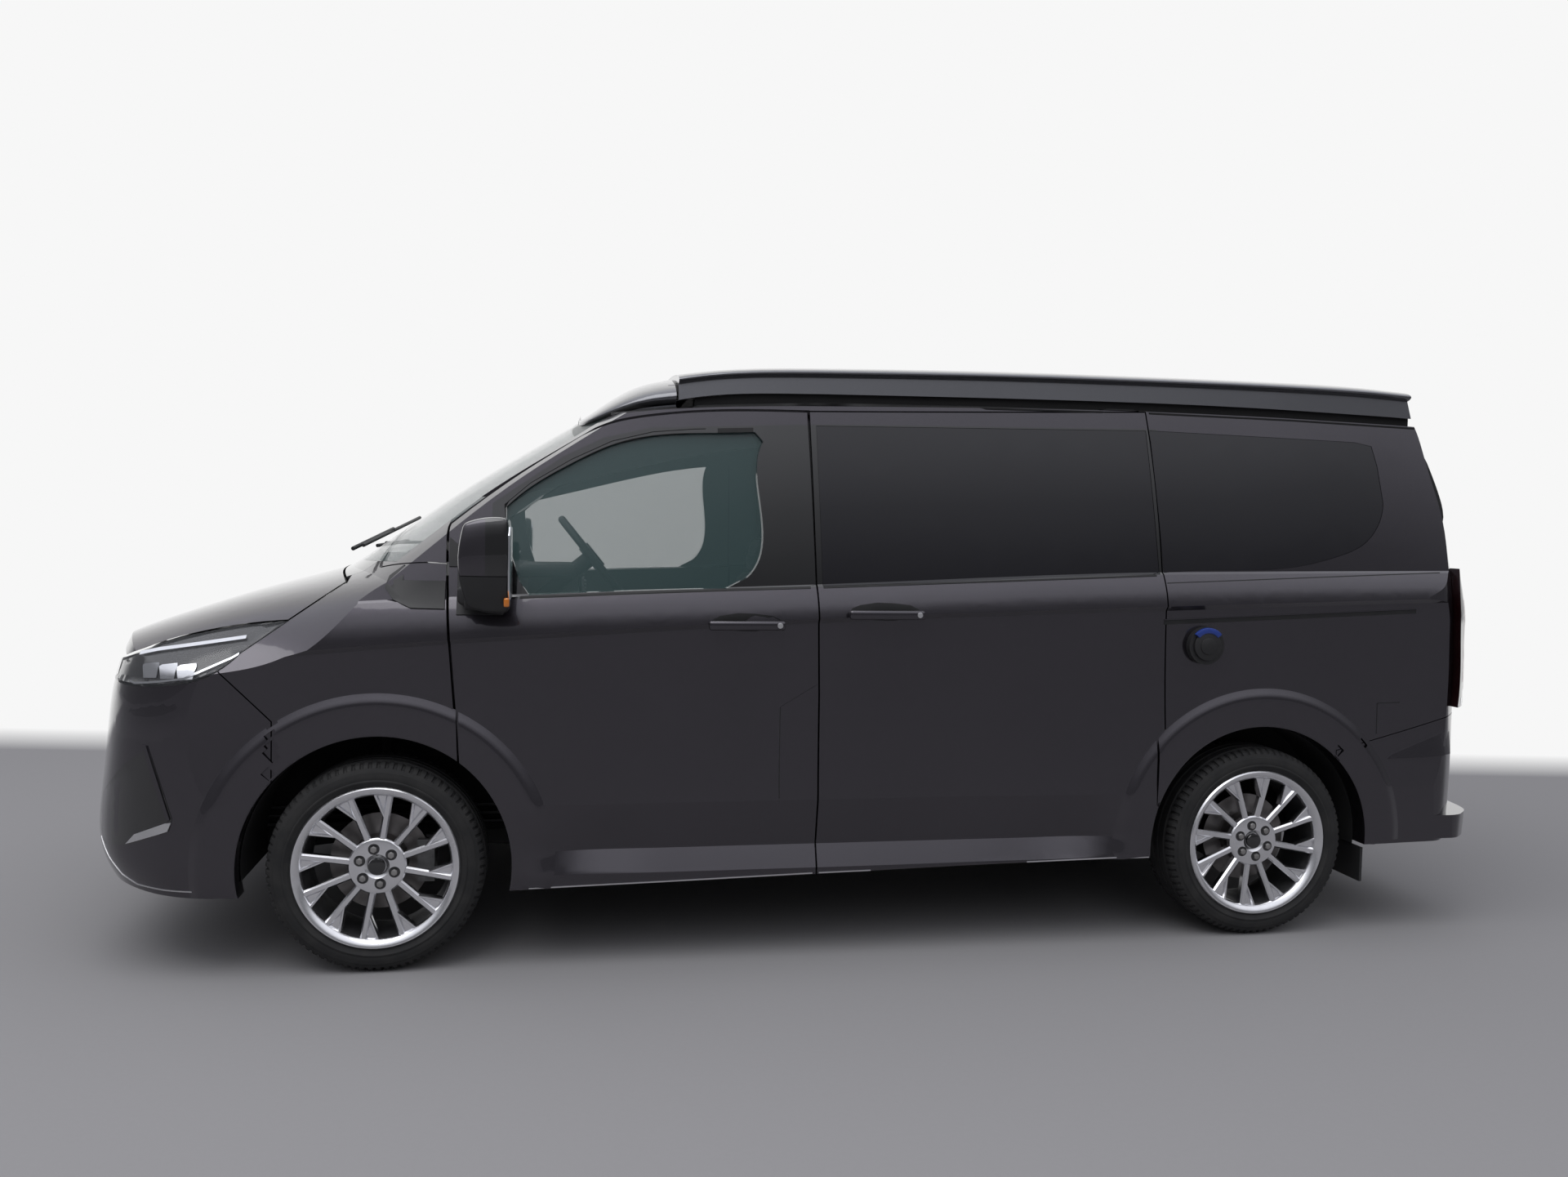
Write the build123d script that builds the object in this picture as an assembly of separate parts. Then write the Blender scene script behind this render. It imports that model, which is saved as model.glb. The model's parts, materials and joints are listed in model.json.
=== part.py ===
from build123d import *
import os
from math import cos, dist, radians, sin

# Passenger van with a pop-up camper roof, in millimetres.
# X runs along the length with the nose toward -X, +Z is up, and the left side is at -Y.
# The origin is on the ground, midway along the length and on the plane of symmetry.

# ---------------------------------------------------------------- driving dimensions
FRONT_OVERHANG = 980.0
WHEELBASE = 3100.0
REAR_OVERHANG = 970.0
BODY_WIDTH = 2006.0
ROOF_WIDTH = 1690.0
ROOF_HEIGHT = 1890.0
BELT_HEIGHT = 1268.0
SILL_HEIGHT = 290.0
TYRE_DIAMETER = 690.0
TYRE_WIDTH = 235.0
RIM_DIAMETER = 524.0
SPOKES = 12
ARCH_CLEARANCE = 85.0
DOOR_WALL = 80.0
DOOR_INNER_GAP = 6.0
DOOR_GAP = 8.5
FRAME_WALL = 45.0
ROOF_WALL = 40.0
NOSE_WALL = 60.0
SHUT_GAP = 5.0
LAMP_GAP = 0.8
LAP = 1.0
SMOOTH_TURN = 0.12
LAMP_INNER = 560.0
LAMP_LIFT = 24.0
ROOF_HOLE_FRONT = 1095.0
ROOF_HOLE_REAR = 345.0
ROOF_HOLE_SIDE = 560.0
GLASS = 5.0
SEAL = 0.3
BONNET_WALL = 30.0
POP_TOP_WALL = 24.0
LID_CLEARANCE = 6.0
STEERING_WHEEL_DIAMETER = 380.0

# ---------------------------------------------------------------- places that follow
X_NOSE = -(FRONT_OVERHANG + WHEELBASE + REAR_OVERHANG) / 2
X_TAIL = -X_NOSE
X_FRONT_AXLE = X_NOSE + FRONT_OVERHANG
X_REAR_AXLE = X_FRONT_AXLE + WHEELBASE
HALF_WIDTH = BODY_WIDTH / 2
HALF_ROOF = ROOF_WIDTH / 2
TYRE_RADIUS = TYRE_DIAMETER / 2
WHEEL_Y = HALF_WIDTH - TYRE_WIDTH / 2 - 18
ARCH_RADIUS = TYRE_RADIUS + ARCH_CLEARANCE
WHEELHOUSE_Y = WHEEL_Y - 308
FAR = 4000.0


def front(offset):
    """A place along the length, measured back from the front axle."""
    return X_FRONT_AXLE + offset


def rear(offset):
    """A place along the length, measured back from the rear axle."""
    return X_REAR_AXLE + offset


def belt(offset):
    return BELT_HEIGHT + offset


def roof(offset):
    return ROOF_HEIGHT + offset


def sill(offset):
    return SILL_HEIGHT + offset


def along(*points):
    """A smooth function through (place, value) points that never overshoots them."""
    places = [p for p, _ in points]
    values = [v for _, v in points]
    slopes = [(values[i + 1] - values[i]) / (places[i + 1] - places[i]) for i in range(len(points) - 1)]
    tangents = [0.0]
    for before, after in zip(slopes, slopes[1:]):
        tangents.append(0.0 if before * after <= 0 else 2 * before * after / (before + after))
    tangents.append(0.0)

    def value(place):
        if place <= places[0]:
            return values[0]
        if place >= places[-1]:
            return values[-1]
        i = max(n for n in range(len(points) - 1) if places[n] <= place)
        run = places[i + 1] - places[i]
        t = (place - places[i]) / run
        return ((1 + 2 * t) * (1 - t) ** 2 * values[i] + t * (1 - t) ** 2 * run * tangents[i]
                + t * t * (3 - 2 * t) * values[i + 1] + t * t * (t - 1) * run * tangents[i + 1])

    return value


DOOR_HINGE_X = front(300)
DOOR_HINGE_Y = HALF_WIDTH - 28
JACK_PAD_Y = 820.0
HINGE_HEIGHTS = (sill(455), belt(-178))
PIN_RADIUS = 6.0
PIN_LENGTH = 76.0
STRAP_LENGTH = 125.0
MIRROR_X = front(345)
SCUTTLE_SIDE = HALF_WIDTH - 310
SEAT_Y = 400.0
INLET_X = X_REAR_AXLE - 248
INLET_Z = BELT_HEIGHT - 196
INLET_RADIUS = 67.0


# ---------------------------------------------------------------- lines of the body side
crease_width = along((X_NOSE - 125, HALF_WIDTH - 18), (front(-155), HALF_WIDTH - 14),
                     (front(545), HALF_WIDTH), (rear(-55), HALF_WIDTH), (rear(470), HALF_WIDTH - 14),
                     (X_TAIL + 125, HALF_WIDTH - 20))
gutter_width = along((front(-355), HALF_ROOF - 145), (front(245), HALF_ROOF - 65),
                     (front(645), HALF_ROOF - 30), (front(1245), HALF_ROOF - 3), (front(1545), HALF_ROOF),
                     (rear(-55), HALF_ROOF), (rear(545), HALF_ROOF - 13), (X_TAIL + 125, HALF_ROOF - 45))
crease_z = along((X_NOSE - 125, belt(-288)), (front(-370), belt(-228)), (front(229), belt(-179)),
                 (front(1431), belt(-106)), (rear(-413), belt(-57)), (rear(673), belt(-23)),
                 (X_TAIL + 125, belt(-13)))
belt_z = along((X_NOSE - 125, belt(-168)), (front(-355), belt(-88)), (front(458), belt(-40)),
               (front(1438), belt(0)), (rear(-405), belt(55)), (rear(724), belt(72)),
               (X_TAIL + 125, belt(77)))
gutter_z = along((X_NOSE - 125, roof(-190)), (front(734), roof(-52)), (front(970), roof(-22)),
                 (front(1457), roof(0)), (rear(-417), roof(21)), (rear(692), roof(2)),
                 (X_TAIL + 125, roof(-20)))
groove_depth = along((front(395), 0.0), (front(695), 1.0), (rear(-685), 1.0), (rear(-435), 0.0))

SIDE_STEPS = 24
SIDE_STATIONS = [(X_NOSE - 125) + (X_TAIL - X_NOSE + 250) * i / SIDE_STEPS for i in range(SIDE_STEPS + 1)]
GROUND_CUT = 150.0
PLAN_CUT = 100.0
ROOF_CROWN = 40.0


def side_section(x, below, above, top):
    """Closed section across the body at x, moved in by a wall below the belt, above it and on top."""
    crease = crease_width(x) - below
    gutter = gutter_width(x) - above
    z_crease = crease_z(x)
    z_belt = belt_z(x)
    z_gutter = gutter_z(x) - top
    groove = 32 * groove_depth(x)
    glass = crease_width(x) - 48 - above
    left = [
        [(crease - 25, GROUND_CUT), (crease - 8, sill(20))],
        [(crease - 8, sill(20)), (crease - 6 - groove, sill(95))],
        [(crease - 6 - groove, sill(95)), (crease - 4, sill(255))],
        [(crease - 4, sill(255)), (crease - 16, (sill(255) + z_crease) / 2), (crease - 13, z_crease - 16)],
        [(crease - 13, z_crease - 16), (crease, z_crease)],
        [(crease, z_crease), (crease - 12, (z_crease + z_belt) / 2), (crease - 38, z_belt)],
        [(crease - 38, z_belt), (glass, z_belt + 8)],
        [(glass, z_belt + 8), ((glass + gutter) / 2 + 8, (z_belt + z_gutter) / 2), (gutter, z_gutter)],
    ]
    crown = [(-gutter, z_gutter), (-gutter / 2, z_gutter + ROOF_CROWN * 0.8), (0, z_gutter + ROOF_CROWN),
             (gutter / 2, z_gutter + ROOF_CROWN * 0.8), (gutter, z_gutter)]
    runs = [[(-w, z) for w, z in run] for run in left]
    runs.append(crown)
    runs += [[(w, z) for w, z in reversed(run)] for run in reversed(left)]
    runs.append([(crease - 25, GROUND_CUT), (25 - crease, GROUND_CUT)])
    return Wire([curve_through([Vector(x, y, z) for y, z in run]) for run in runs])


def curve_through(points):
    """A line through two points, or an evenly timed spline through more."""
    if len(points) == 2:
        return Edge.make_line(*points)
    count = len(points) - 1
    return Edge.make_spline(points, parameters=[i / count for i in range(count + 1)])


def side_solid(below=0.0, above=0.0, top=0.0):
    return Solid.make_loft([side_section(x, below, above, top) for x in SIDE_STATIONS])


# ---------------------------------------------------------------- bonnet, windscreen and roof front
COWL_X = front(-200)
COWL_Z = belt(32)
HEADER_X = front(660)
HEADER_Z = roof(-22)
BONNET_LINE = [(-1100, -420), (-930, -258), (-895, -206), (-785, -155), (-635, -100), (-485, -51),
               (-332, -8), (-200, 32)]
SCREEN_LINE = [(0.0, 0.0), (0.235, 0.26), (0.4, 0.442), (0.575, 0.62), (0.75, 0.783), (0.927, 0.944),
               (1.08, 1.06)]
SCREEN_BOW = 190.0
SHOULDER_DROP = 240.0
TOP_STEPS = 16
TOP_REACH = 1.12


def shoulder_drop(offset, share):
    """How far the bonnet falls toward the wing, steeper ahead and almost level at the cowl."""
    flat = along((-500, 1.0), (-200, 0.2))
    return SHOULDER_DROP * share ** 6 * flat(offset)


def top_section(share, sink):
    """Closed side profile at a share of the half width, its top moved in by a wall."""
    y = share * HALF_WIDTH
    bow = SCREEN_BOW * (abs(share) / 0.85) ** 2.3
    bonnet = []
    for offset, height in BONNET_LINE:
        shift = bow * along((-930, 0.0), (-200, 1.0))(offset)
        drop = shoulder_drop(offset, abs(share))
        bonnet.append(Vector(front(offset) + shift + sink * 0.35, y, belt(height) - drop - sink))
    screen = []
    for run, rise in SCREEN_LINE:
        x = COWL_X + run * (HEADER_X - COWL_X) + bow + sink * 0.75
        z = COWL_Z + rise * (HEADER_Z - COWL_Z) - shoulder_drop(-200, abs(share)) * (1 - min(rise, 1)) - sink
        screen.append(Vector(x, y, z))
    screen[0] = bonnet[-1]
    back = Vector(FAR, y, roof(400))
    rear_foot = Vector(FAR, y, 50)
    front_foot = Vector(bonnet[0].X, y, 50)
    return Wire([curve_through(bonnet), curve_through(screen), Edge.make_line(screen[-1], back),
                 Edge.make_line(back, rear_foot), Edge.make_line(rear_foot, front_foot),
                 Edge.make_line(front_foot, bonnet[0])])


def top_solid(sink=0.0):
    """Everything below the bonnet, windscreen and roof lines."""
    shares = [TOP_REACH * (2 * i / TOP_STEPS - 1) for i in range(TOP_STEPS + 1)]
    return Solid.make_loft([top_section(share, sink) for share in shares])


# ---------------------------------------------------------------- nose and tail in plan
nose_x = along((PLAN_CUT, 95), (sill(14), 36), (sill(142), 0), (sill(373), 21), (sill(572), 41),
               (sill(711), 76), (sill(820), 125), (roof(0), 305), (roof(300), 405))
tail_x = along((PLAN_CUT, -90), (sill(290), -70), (sill(735), -73), (belt(-53), -80),
               (belt(72), -106), (belt(228), -139), (roof(-240), -186), (roof(-85), -232), (roof(21), -270),
               (roof(300), -400))
PLAN_LEVELS = [PLAN_CUT, sill(14), sill(144), sill(290), sill(430), sill(572),
               sill(711), sill(820), belt(-53), belt(72), belt(228), roof(-240), roof(-85),
               roof(21), roof(300)]
NOSE_DEPTH = 825.0
NOSE_SHAPE = 4.0
TAIL_DEPTH = 500.0
TAIL_SHAPE = 6.0
PLAN_TURNS = 14


def rounded_end(x, reach, half, shape, z):
    """Points round one end of the plan outline, from its -Y side to its +Y side."""
    points = []
    for step in range(PLAN_TURNS + 1):
        turn = radians(-90 + 180 * step / PLAN_TURNS)
        along_share = abs(cos(turn)) ** (2 / shape)
        across = abs(sin(turn)) ** (2 / shape) * (1 if turn > 0 else -1)
        points.append(Vector(x - reach * (1 - along_share), across * half, z))
    return points


def plan_section(z, ahead, behind, beside):
    """Closed outline of the body in plan at height z, moved in by walls."""
    nose = X_NOSE + nose_x(z) + ahead
    tail = X_TAIL + tail_x(z) - behind
    half = HALF_WIDTH - 12 - beside
    nose_run = rounded_end(nose, -NOSE_DEPTH, half, NOSE_SHAPE, z)
    tail_run = rounded_end(tail, TAIL_DEPTH, half, TAIL_SHAPE, z)[::-1]
    outer = half + 60
    corners = [Vector(nose_run[-1].X + 60, outer, z), Vector(tail_run[0].X - 60, outer, z),
               Vector(tail_run[-1].X - 60, -outer, z), Vector(nose_run[0].X + 60, -outer, z)]
    return Wire([
        curve_through(nose_run),
        Edge.make_line(nose_run[-1], corners[0]),
        Edge.make_line(corners[0], corners[1]),
        Edge.make_line(corners[1], tail_run[0]),
        curve_through(tail_run),
        Edge.make_line(tail_run[-1], corners[2]),
        Edge.make_line(corners[2], corners[3]),
        Edge.make_line(corners[3], nose_run[0]),
    ])


def plan_solid(ahead=0.0, behind=0.0, beside=0.0):
    return Solid.make_loft([plan_section(z, ahead, behind, beside) for z in PLAN_LEVELS])


# ---------------------------------------------------------------- outlines and cuts
def box(x_low, x_high, y_low, y_high, z_low, z_high):
    size = (x_high - x_low, y_high - y_low, z_high - z_low)
    centre = ((x_low + x_high) / 2, (y_low + y_high) / 2, (z_low + z_high) / 2)
    return Pos(*centre) * Box(*size)


def outline(*runs):
    """Closed loop of edges through runs of points that follow on; two points are a line, more a spline."""
    edges = []
    for run, following in zip(runs, runs[1:] + runs[:1]):
        if len(run) > 1:
            edges.append(list(run))
        if dist(run[-1], following[0]) > 0.01:
            edges.append([run[-1], following[0]])
    return edges


def polygon(*points):
    """Closed loop of straight edges through the points."""
    return [[a, b] for a, b in zip(points, points[1:] + points[:1])]


def chord_shares(points):
    """How far along each point lies, as a share of the way through them all."""
    reaches = [0.0]
    for before, after in zip(points, points[1:]):
        reaches.append(reaches[-1] + dist(before, after))
    return [reach / reaches[-1] for reach in reaches]


def flat_curve(points):
    """A line or a spline timed by distance, so uneven points don't make it overshoot."""
    places = [Vector(a, b, 0) for a, b in points]
    if len(places) == 2:
        return Edge.make_line(*places)
    return Edge.make_spline(places, parameters=chord_shares(points))


def face_in(loop):
    return Face(Wire([flat_curve(edge) for edge in loop]))


def grown(loop, amount):
    """The same loop moved out all round by an amount, with its corners kept sharp."""
    corners = [edge[0] for edge in loop]
    turn = sum(a[0] * b[1] - b[0] * a[1] for a, b in zip(corners, corners[1:] + corners[:1]))
    out = amount if turn > 0 else -amount
    moved = []
    slopes = []
    for edge in loop:
        curve = flat_curve(edge)
        ways = [curve.tangent_at(share) for share in chord_shares(edge)]
        moved.append([(a + way.Y * out, b - way.X * out) for (a, b), way in zip(edge, ways)])
        slopes.append((ways[0], ways[-1]))
    for i, edge in enumerate(moved):
        after = (i + 1) % len(moved)
        corner = crossing(edge[-1], slopes[i][1], moved[after][0], slopes[after][0])
        edge[-1] = corner
        moved[after][0] = corner
    return moved


def crossing(point, way, other, other_way):
    """Where two lines cross, or midway between their points if they run the same way."""
    turn = way.X * other_way.Y - way.Y * other_way.X
    if abs(turn) < SMOOTH_TURN:
        return ((point[0] + other[0]) / 2, (point[1] + other[1]) / 2)
    reach = ((other[0] - point[0]) * other_way.Y - (other[1] - point[1]) * other_way.X) / turn
    return (point[0] + way.X * reach, point[1] + way.Y * reach)


def side_cut(loop, near, far):
    """The outline in X and Z carried through y from -far to -near."""
    plane = Plane(origin=(0, -near, 0), x_dir=(1, 0, 0), z_dir=(0, -1, 0))
    return extrude(plane * face_in(loop), amount=far - near, dir=(0, -1, 0))


def end_cut(loop, x_low, x_high):
    """The outline in Y and Z carried through X."""
    plane = Plane(origin=(x_low, 0, 0), x_dir=(0, 1, 0), z_dir=(1, 0, 0))
    return extrude(plane * face_in(loop), amount=x_high - x_low, dir=(1, 0, 0))


def plan_cut(loop, z_low, z_high):
    """The outline in X and Y carried through Z."""
    return extrude(Pos(0, 0, z_low) * face_in(loop), amount=z_high - z_low, dir=(0, 0, 1))


def largest(shape):
    """The biggest single solid of a cut, without slivers."""
    return max(shape.solids(), key=lambda solid: solid.volume)


def across(solid):
    """The same piece on the other side of the van."""
    return mirror(solid, about=Plane.XZ)


def wheel_bore(x, radius, near, far):
    """Cylinder about a left wheel's axis."""
    plane = Plane(origin=(x, -near, TYRE_RADIUS), z_dir=(0, -1, 0))
    return extrude(plane * Circle(radius), amount=far - near)


SIDE = BODY_WIDTH
CUT_NEAR = HALF_ROOF - 60

FRONT_DOOR = outline(
    [(front(1446), sill(-4)), (front(1445), belt(-364))],
    [(front(1445), belt(-364)), (front(1435), belt(-5)), (front(1414), roof(-24))],
    [(front(1414), roof(-24)), (front(1218), roof(-26)), (front(1021), roof(-36)), (front(883), roof(-52)),
     (front(746), roof(-81)), (front(584), roof(-157)), (front(478), roof(-223)), (front(348), roof(-312)),
     (front(230), roof(-400))],
    [(front(219), roof(-440)), (front(226), belt(-92)), (front(245), belt(-356)),
     (front(261), sill(395))],
    [(front(300), sill(200)), (front(300), sill(-31))],
)
SLIDING_DOOR = outline(
    [(rear(-386), sill(16)), (rear(-386), sill(459))],
    [(rear(-386), sill(459)), (rear(-392), belt(-372)), (rear(-402), belt(55)), (rear(-434), roof(17))],
    [(rear(-434), roof(17)), (front(1742), roof(-13)), (front(1424), roof(-22))],
    [(front(1424), roof(-22)), (front(1441), belt(-5)), (front(1451), belt(-364))],
    [(front(1451), belt(-364)), (front(1452), sill(-4))],
)
FRONT_WINDOW = outline(
    [(front(478), belt(-36)), (front(775), belt(-20)), (front(1130), belt(-8))],
    [(front(1199), belt(28)), (front(1236), belt(76)), (front(1254), belt(213)), (front(1259), roof(-129))],
    [(front(1231), roof(-97)), (front(1021), roof(-106)), (front(883), roof(-118)), (front(746), roof(-153)),
     (front(612), roof(-219)), (front(479), roof(-301)), (front(400), roof(-370))],
    [(front(403), belt(145)), (front(447), belt(7))],
)
SLIDING_WINDOW = polygon((front(1460), belt(3)), (rear(-412), belt(57)), (rear(-436), roof(-50)),
                         (front(1446), roof(-70)))
QUARTER_WINDOW = outline(
    [(rear(-393), belt(63)), (rear(-149), belt(74)), (rear(134), belt(90)), (rear(300), belt(128)),
     (rear(420), belt(180)), (rear(478), belt(245)), (rear(506), belt(330))],
    [(rear(494), roof(-154)), (rear(478), roof(-80))],
    [(rear(408), roof(-67)), (rear(-420), roof(-49))],
)
BONNET_SIDE = outline(
    [(X_NOSE - 60, belt(-290)), (front(-879), belt(-275)), (front(-688), belt(-203)),
     (front(-564), belt(-168)),
     (front(-414), belt(-140)), (front(-290), belt(-126))],
    [(front(-89), belt(23)), (front(-60), roof(-300))],
    [(X_NOSE - 60, roof(-300))],
)
BONNET_BACK = outline(
    [(X_NOSE - 60, -SIDE), (front(-60), -SIDE)],
    [(front(-89), -HALF_WIDTH + 100), (front(-165), -HALF_WIDTH + 400), (front(-218), 0),
     (front(-165), HALF_WIDTH - 400), (front(-89), HALF_WIDTH - 100)],
    [(front(-60), SIDE), (X_NOSE - 60, SIDE)],
)
HEADLAMP = outline(
    [(X_NOSE - 20, belt(-284)), (front(-879), belt(-280)), (front(-688), belt(-208)),
     (front(-564), belt(-173)), (front(-414), belt(-145)), (front(-288), belt(-131))],
    [(front(-420), belt(-230)), (front(-545), belt(-313)), (front(-640), belt(-331)),
     (front(-809), belt(-338)),
     (X_NOSE - 20, belt(-338))],
)
WING = outline(
    [(front(-475), belt(-283)), (front(-317), belt(-442))],
    [(front(-317), sill(55)), (front(400), sill(55))],
    [(front(400), belt(20)), (front(213), belt(62)), (front(-89), belt(18))],
    [(front(-300), belt(-90)), (front(-475), belt(-90))],
)
TAIL_LAMP = outline(
    [(rear(785), sill(549)), (rear(790), belt(-180)), (rear(800), belt(60)), (rear(812), belt(89))],
    [(X_TAIL + 40, belt(89)), (X_TAIL + 40, sill(549))],
)
REAR_BUMPER = outline(
    [(rear(300), sill(392)), (rear(497), sill(439)), (rear(760), sill(510))],
    [(X_TAIL + 90, sill(548)), (X_TAIL + 90, sill(48))],
    [(rear(475), sill(38)), (rear(300), sill(38))],
)
SCREEN = outline(
    [(-(HALF_WIDTH - 175), belt(66)), (0, belt(52)), (HALF_WIDTH - 175, belt(66))],
    [(HALF_WIDTH - 185, belt(120)), (HALF_ROOF - 118, roof(-62))],
    [(HALF_ROOF - 150, roof(-38)), (0, roof(-24)), (150 - HALF_ROOF, roof(-38))],
    [(118 - HALF_ROOF, roof(-62)), (185 - HALF_WIDTH, belt(120))],
)
TAILGATE = outline(
    [(-(HALF_WIDTH - 200), sill(270)), (HALF_WIDTH - 200, sill(270))],
    [(HALF_WIDTH - 168, sill(400)), (HALF_WIDTH - 160, belt(-80)), (HALF_WIDTH - 172, belt(80)),
     (HALF_ROOF - 95, roof(-60))],
    [(HALF_ROOF - 110, roof(-42)), (110 - HALF_ROOF, roof(-42))],
    [(95 - HALF_ROOF, roof(-60)), (172 - HALF_WIDTH, belt(80)), (160 - HALF_WIDTH, belt(-80)),
     (168 - HALF_WIDTH, sill(400))],
)
TAILGATE_WINDOW = outline(
    [(-(HALF_WIDTH - 285), belt(85)), (HALF_WIDTH - 285, belt(85))],
    [(HALF_ROOF - 165, roof(-125)), (165 - HALF_ROOF, roof(-125))],
)
GRILLE = outline(
    [(-470, sill(380)), (470, sill(380))],
    [(560, belt(-420)), (560, belt(-365))],
    [(-560, belt(-365)), (-560, belt(-420))],
)
LOWER_GRILLE = outline(
    [(-520, sill(85)), (520, sill(85))],
    [(600, sill(215)), (-600, sill(215))],
)


UNDER_LINE = outline(
    [(X_NOSE - 60, sill(75)), (X_NOSE + 30, sill(24)), (front(-814), sill(-2)), (front(-702), sill(-19)),
     (front(-558), sill(-26)), (front(-430), sill(-30))],
    [(front(-430), sill(-30)), (front(420), sill(-31)), (front(1446), sill(-4)), (rear(-426), sill(16))],
    [(rear(-426), sill(16)), (rear(475), sill(38)), (X_TAIL + 90, sill(48))],
    [(X_TAIL + 90, 0), (X_NOSE - 60, 0)],
)


# ---------------------------------------------------------------- body panels
def bonded_pane(panel, loop, cut, outside, inside, seat, flange):
    """Open a window in a panel and give it a pane that sits on a rebate in the frame."""
    pane = (cut(loop) & outside) - inside
    panel = panel - (cut(grown(loop, SEAL * 4)) - seat)
    panel = panel - cut(grown(loop, -flange))
    return panel, pane


def left_cut(loop):
    return side_cut(loop, CUT_NEAR, SIDE)


def tail_cut(loop):
    return end_cut(loop, rear(300), X_TAIL + 100)


def screen_cut(loop):
    return end_cut(loop, front(-300), front(900))


def build_body(nodes):
    side = side_solid()
    plan = plan_solid()
    outer = side & top_solid() & plan
    inner = side_solid(DOOR_WALL, FRAME_WALL, ROOF_WALL) & top_solid(NOSE_WALL)
    inner = inner & plan_solid(NOSE_WALL, NOSE_WALL)
    lip = (side & plan_solid(0, -76)) & box(rear(500), FAR, -SIDE, SIDE, sill(52), sill(140))
    skin = outer - inner - side_cut(UNDER_LINE, -SIDE, SIDE)
    lip = lip - inner
    for x in (X_FRONT_AXLE, X_REAR_AXLE):
        bore = wheel_bore(x, ARCH_RADIUS, WHEELHOUSE_Y, SIDE)
        skin = skin - bore - across(bore)

    # Windscreen, bonnet and roof reach across the van.
    near_glass = side_solid(0, 1.5) & top_solid(1.5)
    under_glass = side_solid(0, 1.5 + GLASS) & top_solid(1.5 + GLASS)
    glass_seat = side_solid(0, 1.5 + GLASS + SEAL) & top_solid(1.5 + GLASS + SEAL)
    skin, windscreen = bonded_pane(skin, SCREEN, screen_cut, near_glass, under_glass, glass_seat, 30)
    nodes["windscreen"] = largest(windscreen)
    bonnet_space = side_cut(BONNET_SIDE, -SIDE, SIDE) & plan_cut(BONNET_BACK, sill(0), roof(0))
    bonnet_room = side_cut(grown(BONNET_SIDE, SHUT_GAP), -SIDE, SIDE)
    bonnet_room = bonnet_room & plan_cut(grown(BONNET_BACK, SHUT_GAP + 3), sill(0), roof(0))
    bonnet = (skin & bonnet_space) - top_solid(BONNET_WALL)
    nodes["bonnet"] = largest(bonnet)
    skin = skin - bonnet_room

    # Doors and windows of the left side.
    half = skin & box(-FAR, FAR, -SIDE, 0, 0, FAR)
    door_back = side_solid(DOOR_WALL - DOOR_INNER_GAP, FRAME_WALL - DOOR_INNER_GAP)
    front_door = (half & left_cut(FRONT_DOOR)) - door_back
    sliding_door = (half & left_cut(SLIDING_DOOR)) - door_back
    half = half - left_cut(grown(FRONT_DOOR, DOOR_GAP)) - left_cut(grown(SLIDING_DOOR, SHUT_GAP))
    front_door = front_door - left_cut(FRONT_WINDOW)
    pane = left_cut(grown(FRONT_WINDOW, -SEAL)) & side_solid(0, 12)
    for height in HINGE_HEIGHTS:
        pocket = box(DOOR_HINGE_X - 80, DOOR_HINGE_X + 22, -DOOR_HINGE_Y - PIN_RADIUS - 1, -CUT_NEAR,
                     height - 27, height + 27)
        bore = Pos(DOOR_HINGE_X, -DOOR_HINGE_Y, height) * Cylinder(PIN_RADIUS + SEAL, PIN_LENGTH + 2 * SEAL)
        front_door = front_door - pocket - bore
    nodes["front_door_left"] = largest(front_door)
    nodes["mirror_left"] = mirror_shape()
    nodes["front_door_glass_left"] = largest(pane - side_solid(0, 12 + GLASS))
    sliding_door, pane = bonded_pane(sliding_door, SLIDING_WINDOW, left_cut, near_glass, under_glass,
                                     glass_seat, 30)
    nodes["sliding_door_left"] = largest(sliding_door)
    side_panes = [largest(pane)]
    half, pane = bonded_pane(half, QUARTER_WINDOW, left_cut, near_glass, under_glass, glass_seat, 30)
    side_panes.append(largest(pane))
    nodes["side_windows"] = Compound(side_panes + [across(pane) for pane in side_panes])

    # Lamps.
    headlamp = largest(half & side_cut(HEADLAMP, LAMP_INNER, SIDE))
    half = half - side_cut(grown(HEADLAMP, LAMP_GAP), LAMP_INNER - LAMP_GAP, SIDE)
    nodes["headlamps"] = Compound([headlamp, across(headlamp)])
    proud = (side_solid(-LAMP_LIFT, -LAMP_LIFT) & plan_solid(0, -LAMP_LIFT, -LAMP_LIFT)) - inner
    lamp_side = HALF_WIDTH - 152
    tail_lamp = largest(proud & side_cut(TAIL_LAMP, lamp_side, SIDE))
    half = half - side_cut(grown(TAIL_LAMP, LAMP_GAP), lamp_side - LAMP_GAP, SIDE)
    nodes["tail_lamps"] = Compound([tail_lamp, across(tail_lamp)])

    # Tailgate and rear bumper.
    tail = (outer - plan_solid(0, NOSE_WALL)) & box(rear(350), FAR, -SIDE, SIDE, sill(60), FAR)
    tailgate = largest(tail & tail_cut(TAILGATE))
    half = half - tail_cut(grown(TAILGATE, SHUT_GAP + 1))
    tail_glass = plan_solid(0, 1.5)
    tailgate, pane = bonded_pane(tailgate, TAILGATE_WINDOW, tail_cut, tail_glass,
                                 plan_solid(0, 1.5 + GLASS), plan_solid(0, 1.5 + GLASS + SEAL), 25)
    nodes["tailgate"] = largest(tailgate)
    nodes["tailgate_glass"] = largest(pane)
    bumper = half & left_cut(REAR_BUMPER)
    half = half - side_cut(grown(REAR_BUMPER, 3), 0, SIDE)
    bumper = bumper + (lip & box(0, FAR, -SIDE, 0, 0, FAR))
    nodes["rear_bumper"] = largest(bumper + across(bumper))

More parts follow.
